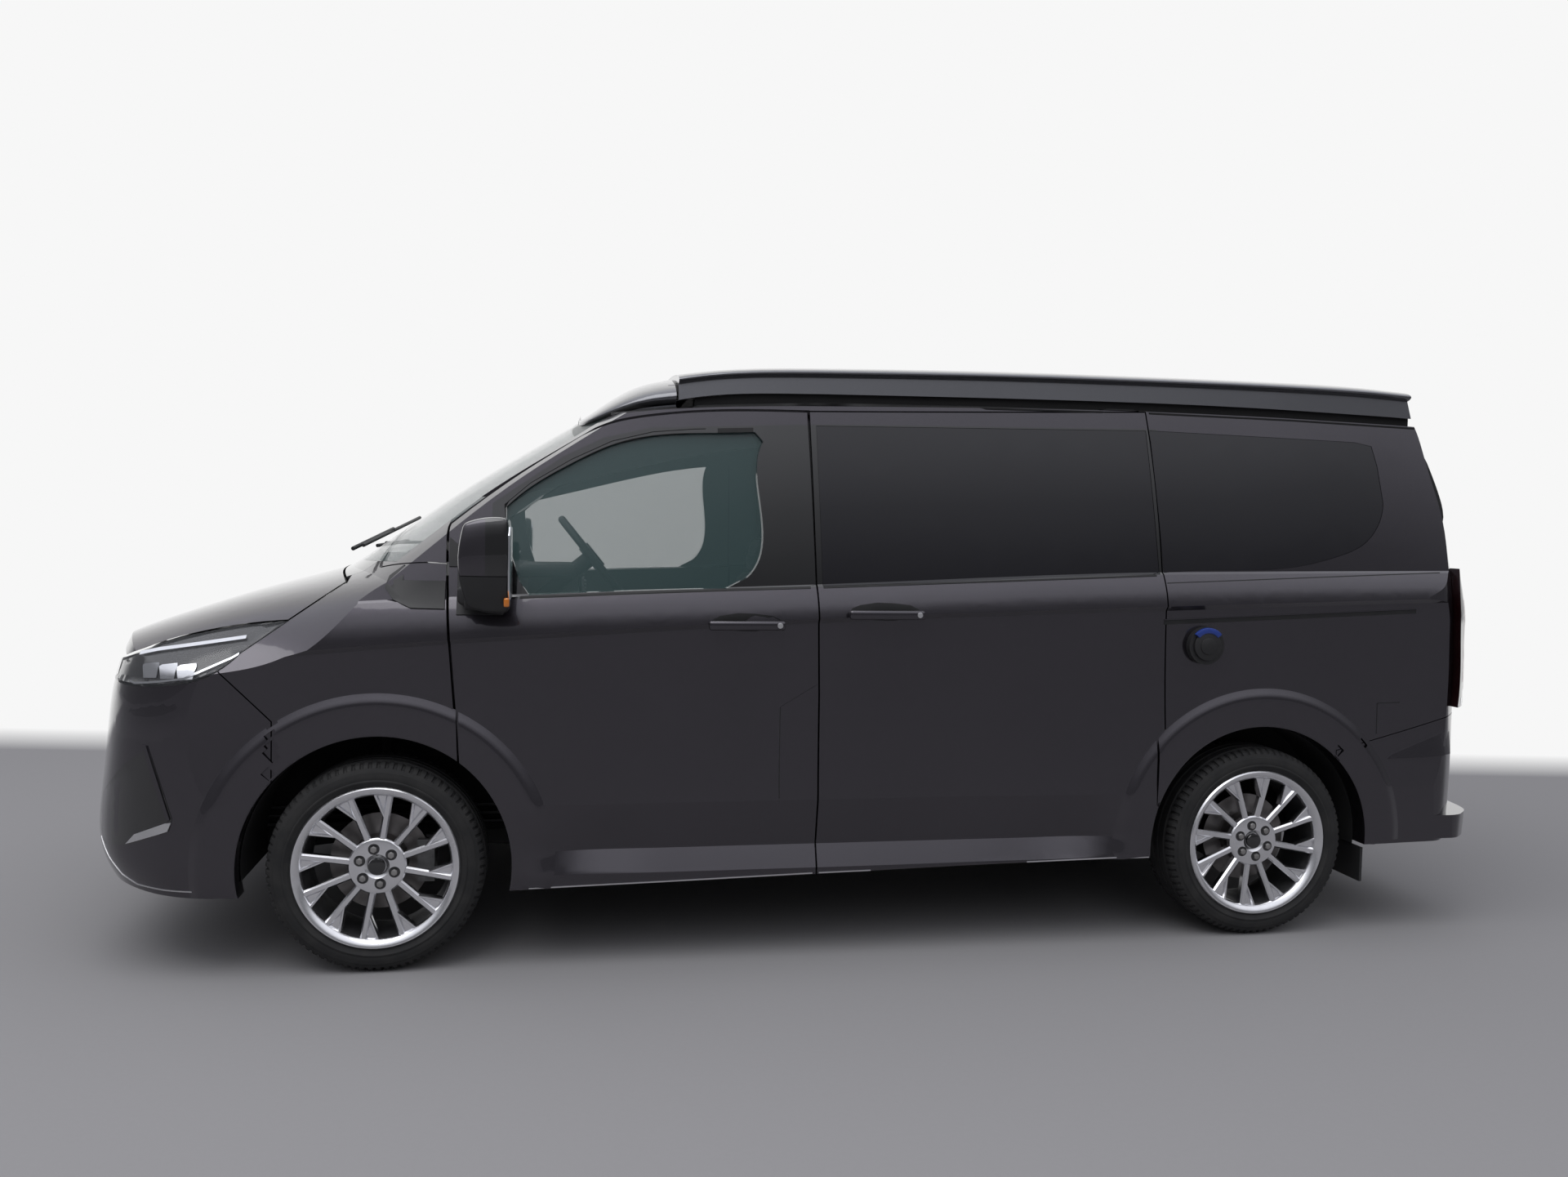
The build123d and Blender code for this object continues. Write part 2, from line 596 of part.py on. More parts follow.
    # Wings and front bumper.
    nodes["wing_left"] = largest((half & left_cut(WING)) & box(-FAR, front(500), -SIDE, 0, 0, FAR))
    half = half - side_cut(grown(WING, 4), CUT_NEAR, SIDE)
    nose = half & box(-FAR, front(-300), -SIDE, 0, 0, belt(-262))
    nose = nose + across(nose)
    grilles = []
    for loop in (GRILLE, LOWER_GRILLE):
        opening = end_cut(loop, X_NOSE - 50, front(-500))
        recess = plan_solid(14) - plan_solid(NOSE_WALL - 6)
        grilles.append(largest(nose & opening & recess))
        nose = nose - end_cut(grown(loop, LAMP_GAP), X_NOSE - 50, front(-500))
    nodes["front_bumper"] = largest(nose)
    nodes["grille"] = Compound(grilles)

    # Roof panel with the opening under the lifting roof, and the body side with its inner frame.
    roof_edge = HALF_ROOF - 130
    roof_zone = box(front(560), X_TAIL, -roof_edge, roof_edge, roof(-100), FAR)
    aperture = box(front(ROOF_HOLE_FRONT), rear(ROOF_HOLE_REAR), -ROOF_HOLE_SIDE, ROOF_HOLE_SIDE, 0, FAR)
    roof_panel = (skin & roof_zone) - aperture - tail_cut(grown(TAILGATE, SHUT_GAP + 1))
    nodes["roof_panel"] = largest(roof_panel)
    half = half - box(front(558), X_TAIL, -roof_edge - 2, SIDE, roof(-102), FAR)
    scuttle_zone = box(front(-340), front(300), -SCUTTLE_SIDE, SCUTTLE_SIDE, belt(-80), belt(180))
    nodes["scuttle_panel"] = largest(skin & scuttle_zone)
    half = half - box(front(-400), front(500), -SCUTTLE_SIDE - 2, SIDE, 0, FAR)
    half = half & box(front(-120), FAR, -SIDE, 0, 0, FAR)
    frame = side_solid(DOOR_WALL - LAP, FRAME_WALL - LAP, ROOF_WALL - LAP) & top_solid(NOSE_WALL - LAP)
    frame = frame & plan_solid(0, NOSE_WALL - LAP)
    frame = frame - side_solid(DOOR_WALL + 60, FRAME_WALL + 35, ROOF_WALL + 5)
    frame = frame & box(front(130), rear(-330), -SIDE, -500, sill(10), gutter_z(front(1400)) - ROOF_WALL)
    frame = frame - left_cut(grown(FRONT_DOOR, -62)) - left_cut(grown(SLIDING_DOOR, -62))
    relief = Pos(DOOR_HINGE_X, -DOOR_HINGE_Y, 0) * extrude(Circle(106), amount=FAR)
    corner_relief = Pos(DOOR_HINGE_X, -DOOR_HINGE_Y, belt(-125)) * extrude(Circle(154), amount=420)
    frame = frame - side_cut(grown(WING, 4), CUT_NEAR, SIDE) - relief - corner_relief + hinge_pillar(0)
    frame = frame - box(front(558), X_TAIL, -roof_edge - 2, SIDE, roof(-102), FAR)
    frame = frame - wheel_bore(X_FRONT_AXLE, ARCH_RADIUS, WHEELHOUSE_Y, SIDE)
    frame = frame - wheel_bore(X_REAR_AXLE, ARCH_RADIUS, WHEELHOUSE_Y, SIDE)
    pad_space = side_solid(DOOR_WALL - DOOR_INNER_GAP + SEAL, FRAME_WALL - DOOR_INNER_GAP + SEAL)
    pad_space = pad_space - side_solid(DOOR_WALL + 1, FRAME_WALL + 1)
    for x in (front(1460), rear(-440)):
        frame = frame + (pad_space & box(x, x + 36, -SIDE, -CUT_NEAR, sill(300), sill(400)))
    body_side = half + frame
    for height in HINGE_HEIGHTS:
        strap = box(DOOR_HINGE_X - PIN_RADIUS, DOOR_HINGE_X + PIN_RADIUS, -DOOR_HINGE_Y,
                    -DOOR_HINGE_Y + STRAP_LENGTH, height - 22, height + 22)
        pin = Pos(DOOR_HINGE_X, -DOOR_HINGE_Y, height) * Cylinder(PIN_RADIUS, PIN_LENGTH)
        body_side = body_side + strap + pin
    nodes["body_side_left"] = largest(body_side)
    return outer


def hinge_pillar(margin):
    """Pillar inside the cab door's front edge, just clear of the door's swing."""
    return box(front(205) - margin, front(480) + margin, -DOOR_HINGE_Y + 107 - margin,
               -DOOR_HINGE_Y + 160 + margin, sill(10) - margin, belt(-128) + margin)


def inlet_hole():
    plane = Plane(origin=(INLET_X, -HALF_WIDTH + 150, INLET_Z), z_dir=(0, -1, 0))
    return extrude(plane * Circle(INLET_RADIUS - 8), amount=300)


def build_inlet(nodes):
    """Shore-power inlet: a flanged cup let into the left quarter, with a bore for the plug."""
    skin_y = -HALF_WIDTH + 18
    plane = Plane(origin=(INLET_X, skin_y, INLET_Z), z_dir=(0, -1, 0))
    flange = extrude(plane * Circle(INLET_RADIUS), amount=28) - side_solid(-SEAL, -SEAL)
    cup = extrude(plane.offset(-70) * Circle(INLET_RADIUS - 8 - SEAL), amount=90)
    bore = extrude(plane.offset(-50) * Circle(34), amount=100)
    nodes["shore_power_inlet"] = largest(flange + cup - bore)


def mirror_shape():
    """Door mirror: a rounded housing on a foot that sits on the door skin."""
    housing = Pos(MIRROR_X, -(HALF_WIDTH + 138), belt(105)) * Box(150, 220, 240)
    housing = fillet(housing.edges(), 38)
    foot = box(MIRROR_X - 88, MIRROR_X + 70, -(HALF_WIDTH + 160), -HALF_WIDTH + 90, belt(-68), belt(12))
    foot = fillet(foot.edges().filter_by(Axis.Y), 30)
    mirror_solid = (housing + foot) - side_solid(-SEAL, -SEAL)
    return largest(mirror_solid)


# ---------------------------------------------------------------- lifting roof
def lid_section(x, inset, base):
    """Closed section across the roof lid at x, moved in by its wall."""
    half = lid_width(x) - inset
    low = base(x)
    top = lid_top(x) - inset
    rise = max(top - low, 2.0)
    points = [(-half + 10, low + rise * 0.45), (-half + 50, low + rise * 0.72),
              (-half * 0.55, low + rise * 0.93),
              (0, low + rise), (half * 0.55, low + rise * 0.93), (half - 50, low + rise * 0.72),
              (half - 10, low + rise * 0.45)]
    corners = [Vector(x, -half, low), Vector(x, half, low)]
    arch = [Vector(x, y, z) for y, z in points]
    return Wire([Edge.make_line(corners[0], arch[0]), curve_through(arch), Edge.make_line(arch[-1], corners[1]),
                 Edge.make_line(corners[1], corners[0])])


lid_width = along((front(640), HALF_ROOF - 420), (front(700), HALF_ROOF - 220), (front(800), HALF_ROOF - 110),
                  (front(950), HALF_ROOF - 60), (front(1250), HALF_ROOF - 38), (rear(0), HALF_ROOF - 35),
                  (rear(700), HALF_ROOF - 55))
lid_base = along((front(640), roof(-14)), (front(737), roof(-8)), (front(970), roof(12)),
                 (front(1168), roof(36)), (front(1456), roof(46)), (rear(-418), roof(57)),
                 (rear(618), roof(39)), (rear(720), roof(34)))
lid_top = along((front(640), roof(0)), (front(737), roof(52)), (front(877), roof(112)),
                (front(970), roof(136)), (front(1326), roof(172)), (rear(-700), roof(196)),
                (rear(300), roof(198)), (rear(650), roof(186)),
                (rear(720), roof(180)))
LID_STEPS = 18
LID_FRONT = front(645)
LID_JOINT = front(970)
LID_REAR = rear(690)


def lid_solid(inset, base):
    stations = [LID_FRONT + (LID_REAR + 20 - LID_FRONT) * i / LID_STEPS for i in range(LID_STEPS + 1)]
    return Solid.make_loft([lid_section(x, inset, base) for x in stations])


def build_roof(nodes, outer):
    lid = lid_solid(0, lid_base)
    hollow = lid_solid(POP_TOP_WALL, lambda x: lid_base(x) - POP_TOP_WALL)
    tail_slope = polygon((LID_REAR, roof(20)), (LID_REAR - 34, roof(220)), (FAR, roof(220)), (FAR, roof(20)))
    end_wall = box(-FAR, LID_JOINT + 40, -SIDE, SIDE, 0, FAR) + box(LID_REAR - 60, FAR, -SIDE, SIDE, 0, FAR)
    shell = (lid - (hollow - end_wall)) - side_cut(tail_slope, -SIDE, SIDE)
    shell = shell - Pos(0, 0, LID_CLEARANCE) * outer
    nodes["roof_lid"] = largest(shell & box(LID_JOINT + 4, FAR, -SIDE, SIDE, 0, FAR))
    raised = Pos(0, 0, SEAL) * outer
    band = (rail_solid(12) - rail_solid(70)) - raised
    band = (band & box(LID_JOINT + 60, LID_REAR - 6, -SIDE, SIDE, 0, FAR)) - Pos(0, 0, -SEAL) * lid
    nodes["roof_seal"] = largest(band)
    fairing = (lid_solid(0, lambda x: roof(-120)) - raised) & box(-FAR, LID_JOINT - 4.3, -SIDE, SIDE, 0, FAR)
    nodes["roof_fairing"] = largest(fairing)


def rail_solid(inset):
    """Upright-sided block inside the lid's outline, from within the roof to just under the lid."""
    first = LID_FRONT + 60
    stations = [first + (LID_REAR + 20 - first) * i / LID_STEPS for i in range(LID_STEPS + 1)]
    wires = []
    for x in stations:
        half = lid_width(x) - inset
        low = roof(-80)
        high = lid_base(x) - SEAL
        corners = [Vector(x, -half, low), Vector(x, half, low), Vector(x, half, high), Vector(x, -half, high)]
        wires.append(Wire([Edge.make_line(a, b) for a, b in zip(corners, corners[1:] + corners[:1])]))
    return Solid.make_loft(wires)


# ---------------------------------------------------------------- chassis
def build_chassis(nodes):
    room = side_solid(DOOR_WALL + 2, FRAME_WALL + 2, ROOF_WALL + 2) & top_solid(NOSE_WALL + 2)
    room = room & plan_solid(NOSE_WALL + SEAL, NOSE_WALL + SEAL)
    floor_half = HALF_WIDTH - DOOR_WALL - 62
    floor = box(front(250), X_TAIL - 190, -floor_half, floor_half, sill(20), sill(70))
    wheel_room = WHEEL_Y - TYRE_WIDTH / 2 - 58
    for x in (X_FRONT_AXLE, X_REAR_AXLE):
        near = wheel_room if x > 0 else WHEELHOUSE_Y
        bore = wheel_bore(x, ARCH_RADIUS, near, SIDE)
        floor = floor - bore - across(bore)
    house = wheel_bore(X_REAR_AXLE, ARCH_RADIUS + 14, wheel_room - 12, floor_half + 40)
    house = house - wheel_bore(X_REAR_AXLE, ARCH_RADIUS, wheel_room, SIDE)
    house = house & box(0, FAR, -SIDE, 0, sill(20), FAR)
    latch_post = box(rear(700), FAR, -90, 90, sill(21), sill(330)) & room
    cabin = side_solid(DOOR_WALL + 60 + SEAL, FRAME_WALL + 35 + SEAL, ROOF_WALL + 5 + SEAL)
    floor = ((floor + house + across(house)) & cabin) - hinge_pillar(SEAL) - across(hinge_pillar(SEAL))
    for x in (front(560), rear(-560)):
        pad = box(x - 40, x + 40, -JACK_PAD_Y - 28, -JACK_PAD_Y + 28, sill(6), sill(21))
        floor = floor + pad + across(pad)
    nodes["floor_pan"] = largest(floor + latch_post)

    bulkhead = box(front(-40), front(-10), -HALF_WIDTH + 230, HALF_WIDTH - 230, sill(20), belt(60)) & room
    bulkhead = bulkhead + box(front(-10), front(250), -460, 460, sill(20), sill(70))
    near_bore = wheel_bore(X_FRONT_AXLE, ARCH_RADIUS, WHEELHOUSE_Y, SIDE)
    bulkhead = bulkhead - near_bore - across(near_bore)

    rails = []
    for hand in (-1, 1):
        rail = box(X_NOSE, front(-10), 390, 480, sill(130), sill(240)) & room
        tower = box(front(-130), front(130), 480, WHEELHOUSE_Y - 6, sill(130), belt(-250))
        brace = box(front(-10), front(40), 390, 480, sill(20), sill(240))
        mount = box(front(-420), front(-360), 260 + SEAL, 400, sill(150), sill(220))
        rails.append(rail + tower + brace + mount if hand > 0 else across(rail + tower + brace + mount))
    radiator = box(front(-830), front(-790), -480, 480, sill(30), belt(-330))
    latch = box(front(-830), front(-790), -40, 40, belt(-340), FAR) & top_solid(BONNET_WALL + SEAL)
    lamp_arm = box(front(-830), front(-790), -700, 700, sill(430), sill(480)) & room
    front_frame = radiator + latch + lamp_arm + rails[0] + rails[1]
    nodes["engine"] = box(front(-640), front(-120), -260, 260, sill(80), belt(-240))

    subframe = box(front(-90), front(90), -430, 430, sill(-60), sill(-10))
    arm = box(front(-30), front(30), 430, KNUCKLE_Y - 12, sill(-55), sill(-15) - SEAL)
    subframe = subframe + arm + across(arm)
    for hand in (-1, 1):
        subframe = subframe + box(front(-60), front(60), hand * 440 - 35, hand * 440 + 35,
                                  sill(-11), sill(131))
    nodes["front_subframe"] = largest(subframe)
    nodes["front_frame"] = largest(front_frame - subframe)
    nodes["bulkhead"] = largest(bulkhead - front_frame - subframe)
    axle = box(rear(-60), rear(60), -760, 760, sill(-60), sill(0))
    for hand in (-1, 1):
        axle = axle + box(rear(-420), rear(50), hand * 560 - 30, hand * 560 + 30, sill(-50), sill(20) - SEAL)
        hub_centre = Plane(origin=(X_REAR_AXLE, hand * 730, TYRE_RADIUS), z_dir=(0, hand, 0))
        axle = axle + extrude(hub_centre * Circle(60), amount=KNUCKLE_Y - 730)
        axle = axle + extrude(hub_centre * Circle(27), amount=KNUCKLE_Y - 730 + STUB_LENGTH)
        axle = axle + box(rear(-45), rear(45), hand * 745 - 15, hand * 745 + 15, sill(-60), TYRE_RADIUS)
    nodes["rear_axle"] = largest(axle)
    flap = box(rear(432), rear(442), -HALF_WIDTH + 45, -HALF_WIDTH + 240, sill(-108), sill(20) - SEAL)
    nodes["mud_flaps"] = Compound([flap, across(flap)])
    silencer = Pos(rear(330), 330, sill(-65 - SEAL)) * Rot(90, 0, 90) * Cylinder(85, 420)
    nodes["exhaust"] = silencer
    return room, front_frame


# ---------------------------------------------------------------- wheels
RIM_RADIUS = RIM_DIAMETER / 2
KNUCKLE_Y = WHEEL_Y - 70
HUB_FACE = 66.0
STUB_LENGTH = WHEEL_Y + TYRE_WIDTH / 2 - HUB_FACE - KNUCKLE_Y - SEAL


def revolve_about_axle(points):
    """Turn a closed outline of (radius, y) about the wheel's axis."""
    loop = [Vector(0, y, radius) for radius, y in points]
    face = Face(Wire([Edge.make_line(a, b) for a, b in zip(loop, loop[1:] + loop[:1])]))
    return revolve(face, axis=Axis.Y)


def tyre_shape():
    half = TYRE_WIDTH / 2
    bead = RIM_RADIUS - 4
    crown = TYRE_RADIUS
    section = [
        curve_through([Vector(0, -half * 0.8, bead), Vector(0, -half, (bead + crown) / 2 - 4),
                       Vector(0, -half + 16, crown - 16)]),
        curve_through([Vector(0, -half + 16, crown - 16), Vector(0, -half + 42, crown - 2),
                       Vector(0, 0, crown), Vector(0, half - 42, crown - 2),
                       Vector(0, half - 16, crown - 16)]),
        curve_through([Vector(0, half - 16, crown - 16), Vector(0, half, (bead + crown) / 2 - 4),
                       Vector(0, half * 0.8, bead)]),
        Edge.make_line(Vector(0, half * 0.8, bead), Vector(0, -half * 0.8, bead)),
    ]
    return revolve(Face(Wire(section)), axis=Axis.Y)


def rim_shape():
    """Alloy rim with its outer face toward -Y."""
    out = -TYRE_WIDTH / 2
    lip = RIM_RADIUS
    seat = RIM_RADIUS - 4.3
    barrel = revolve_about_axle([
        (lip, out + 4), (lip, out + 14), (seat, out + 18), (seat, -out - 18), (lip - 1, -out - 12),
        (lip - 1, -out - 6), (seat - 14, -out - 6), (seat - 16, out + 60), (seat - 14, out + 4)])
    disc = revolve_about_axle([
        (seat - 12, out + 10), (seat - 12, out + 46), (150, out + 62), (80, out + HUB_FACE),
        (30, out + HUB_FACE),
        (30, out + 22), (70, out + 22), (150, out + 26)])
    cap = revolve_about_axle([
        (0.01, out + 18), (30.5, out + 18), (30.5, out + HUB_FACE), (0.01, out + HUB_FACE)])
    pocket = []
    step = 360 / SPOKES
    for i in range(SPOKES):
        reach = [(82, 6.5), (165, 8.5), (222, 9.5), (236, 7.0),
                 (236, -7.0), (222, -9.5), (165, -8.5), (82, -6.5)]
        loop = [Vector(r * sin(radians(a)), out - 20, r * cos(radians(a))) for r, a in reach]
        face = Face(Wire([Edge.make_line(a, b) for a, b in zip(loop, loop[1:] + loop[:1])]))
        pocket.append(Rot(0, step * (i + 0.5), 0) * extrude(face, amount=120, dir=(0, 1, 0)))
    for tool in pocket:
        disc = disc - tool
    return barrel + disc + cap


def build_wheels(nodes):
    tyre = tyre_shape()
    rim = rim_shape()
    hub_face = HUB_FACE - TYRE_WIDTH / 2
    rotor = revolve_about_axle([(70, 5), (160, 5), (160, 31), (62, 31), (62, hub_face), (70, hub_face)])
    for axle, x in (("front", X_FRONT_AXLE), ("rear", X_REAR_AXLE)):
        place = Pos(x, -WHEEL_Y, TYRE_RADIUS)
        nodes[f"tyre_{axle}_left"] = place * tyre
        nodes[f"rim_{axle}_left"] = Compound([place * largest(rim), place * largest(rotor)])
    knuckle = box(front(-32), front(32), -KNUCKLE_Y - 8, -KNUCKLE_Y + 36, sill(-15), TYRE_RADIUS + 120)
    stub = extrude(Plane(origin=(X_FRONT_AXLE, -KNUCKLE_Y, TYRE_RADIUS), z_dir=(0, -1, 0)) * Circle(27),
                   amount=STUB_LENGTH)
    caliper = box(front(120), front(175), -WHEEL_Y - 28, -WHEEL_Y + 70, TYRE_RADIUS - 70, TYRE_RADIUS + 70)
    slot = box(front(100), front(166), -WHEEL_Y - 1, -WHEEL_Y + 38, TYRE_RADIUS - 80, TYRE_RADIUS + 80)
    link = box(front(30), front(176), -KNUCKLE_Y - 8, -KNUCKLE_Y + 12, TYRE_RADIUS - 40, TYRE_RADIUS + 40)
    nodes["knuckle_left"] = largest(knuckle + stub + (caliper - slot) + link)


# ---------------------------------------------------------------- cab and seats
def build_cab(nodes, room, front_frame):
    dash = box(front(0), front(420), -HALF_WIDTH + 190, HALF_WIDTH - 190, belt(-330), belt(20))
    cut = polygon((front(60), belt(-340)), (front(200), belt(-180)), (front(430), belt(-210)),
                  (front(430), belt(-340)))
    dash = (dash - side_cut(cut, -SIDE, SIDE)) & top_solid(NOSE_WALL + 25)
    tilt = Location((front(690), -SEAT_Y, belt(76)), (0, 51, 0))
    column = tilt * Pos(0, 0, -220 - SEAL) * Cylinder(30, 400)
    nodes["dashboard"] = largest((dash & room) - front_frame + column)
    seats = []
    for hand in (-1, 1):
        y = hand * SEAT_Y
        base = box(front(900), front(1330), y - 200, y + 200, sill(70), sill(250))
        cushion = box(front(840), front(1360), y - 245, y + 245, sill(250), sill(400))
        back = Pos(front(1370), y, sill(660)) * Rot(0, 14, 0) * Box(130, 470, 620)
        head = Pos(front(1452), y, sill(1045)) * Rot(0, 14, 0) * Box(90, 250, 170)
        seats.append(largest(base + cushion + back + head))
    nodes["front_seats"] = Compound(seats)
    bench_y = 560
    bench = box(rear(-250), rear(300), -bench_y, bench_y, sill(70), sill(400))
    bench = bench + Pos(rear(330), 0, sill(680)) * Rot(0, 12, 0) * Box(140, bench_y * 2, 640)
    nodes["rear_bench"] = largest(bench)
    ring = Torus(STEERING_WHEEL_DIAMETER / 2 - 14, 14) + Cylinder(52, 40)
    for turn in (0, 120, 240):
        ring = ring + Rot(0, 0, turn) * Pos(STEERING_WHEEL_DIAMETER / 4 - 6, 0, 0) * Box(
            STEERING_WHEEL_DIAMETER / 2 - 20, 34, 16)
    nodes["steering_wheel"] = tilt * largest(ring)


def build():
    nodes = {}
    outer = build_body(nodes)
    build_roof(nodes, outer)
    room, front_frame = build_chassis(nodes)
    build_wheels(nodes)
    build_cab(nodes, room, front_frame)
    build_inlet(nodes)
    for name in [name for name in nodes if name.endswith("_left")]:
        nodes[name.replace("_left", "_right")] = across(nodes[name])
    nodes["body_side_left"] = largest(nodes["body_side_left"] - inlet_hole())
    return nodes


if __name__ == "__main__":
    os.makedirs("parts", exist_ok=True)
    for name, shape in build().items():
        export_step(shape, f"parts/{name}.step")
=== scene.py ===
"""Looks of a passenger van with a pop-up camper roof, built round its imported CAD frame."""

import json
import logging
import math
from collections.abc import Callable, Iterable, Sequence
from dataclasses import dataclass
from enum import Enum

import bpy
from mathutils import Matrix, Vector

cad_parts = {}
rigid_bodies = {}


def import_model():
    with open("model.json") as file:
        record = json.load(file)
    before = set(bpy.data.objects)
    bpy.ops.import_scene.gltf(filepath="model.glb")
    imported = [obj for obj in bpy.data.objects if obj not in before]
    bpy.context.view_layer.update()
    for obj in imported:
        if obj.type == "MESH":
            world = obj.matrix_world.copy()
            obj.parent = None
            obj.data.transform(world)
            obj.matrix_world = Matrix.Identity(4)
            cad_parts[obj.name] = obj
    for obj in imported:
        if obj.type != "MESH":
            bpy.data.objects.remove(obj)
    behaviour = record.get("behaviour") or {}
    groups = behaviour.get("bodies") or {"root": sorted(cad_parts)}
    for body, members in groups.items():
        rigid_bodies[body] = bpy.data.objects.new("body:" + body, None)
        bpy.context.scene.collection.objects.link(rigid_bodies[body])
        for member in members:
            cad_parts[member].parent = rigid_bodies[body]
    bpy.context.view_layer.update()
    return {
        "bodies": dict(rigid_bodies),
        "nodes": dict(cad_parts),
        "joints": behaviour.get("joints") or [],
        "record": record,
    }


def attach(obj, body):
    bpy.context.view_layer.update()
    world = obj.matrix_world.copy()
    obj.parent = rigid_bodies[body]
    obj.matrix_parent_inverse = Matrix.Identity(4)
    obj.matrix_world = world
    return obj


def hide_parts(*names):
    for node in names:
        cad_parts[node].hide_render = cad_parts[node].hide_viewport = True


log = logging.getLogger("van")
Colour = tuple[float, float, float]
Point = tuple[float, float, float]
Line = Sequence[tuple[float, float]]
ORIGIN: Point = (0.0, 0.0, 0.0)
ACROSS: Point = (0.0, 1.0, 0.0)
MIRRORED: Point = (1.0, -1.0, 1.0)


@dataclass(frozen=True)
class Stance:
    """Where the wheels stand."""

    front: float
    rear: float
    track: float
    height: float

    @classmethod
    def read(cls, joints: Sequence[dict]) -> "Stance":
        """Take it from the joints that the wheels turn on.

        Args:
            joints: The frame's joints.

        Returns:
            The stance.
        """
        spots = {joint["name"]: joint["pos_m"] for joint in joints}
        front, across, height = spots["front_left_spin"]
        return cls(front, spots["rear_left_spin"][0], abs(across), height)


# ---------------------------------------------------------------- shader arithmetic
class Value:
    """One output of a material's nodes that Python arithmetic works on."""

    def __init__(self, graph: "Graph", socket: bpy.types.NodeSocket) -> None:
        """Keep the graph and the socket that the value comes from."""
        self.graph = graph
        self.socket = socket

    def maths(self, operation: str, *others: "Value | float", clamp: bool = False) -> "Value":
        """Add a Math node that takes this value first.

        Args:
            operation: Blender's name for the operation.
            others: The other values it takes.
            clamp: Whether the result is kept from 0 to 1.

        Returns:
            The node's result.
        """
        settings = {"operation": operation, "use_clamp": clamp}
        return self.graph.node("Math", settings, dict(enumerate((self, *others))))

    def __add__(self, other: "Value | float") -> "Value":
        """Sum of the two."""
        return self.maths("ADD", other)

    def __sub__(self, other: "Value | float") -> "Value":
        """This less the other."""
        return self.maths("SUBTRACT", other)

    def __rsub__(self, other: float) -> "Value":
        """The other less this."""
        return self.maths("MULTIPLY_ADD", -1.0, other)

    def __mul__(self, other: "Value | float") -> "Value":
        """Product of the two."""
        return self.maths("MULTIPLY", other)

    def __abs__(self) -> "Value":
        """Size without its sign."""
        return self.maths("ABSOLUTE")

    def least(self, other: "Value | float") -> "Value":
        """Smaller of the two."""
        return self.maths("MINIMUM", other)

    def most(self, other: "Value | float") -> "Value":
        """Larger of the two."""
        return self.maths("MAXIMUM", other)

    def rise(self, low: float, high: float) -> "Value":
        """Go from 0 at low to 1 at high, and stay there."""
        slope = 1.0 / (high - low)
        return self.maths("MULTIPLY_ADD", slope, -low * slope, clamp=True)


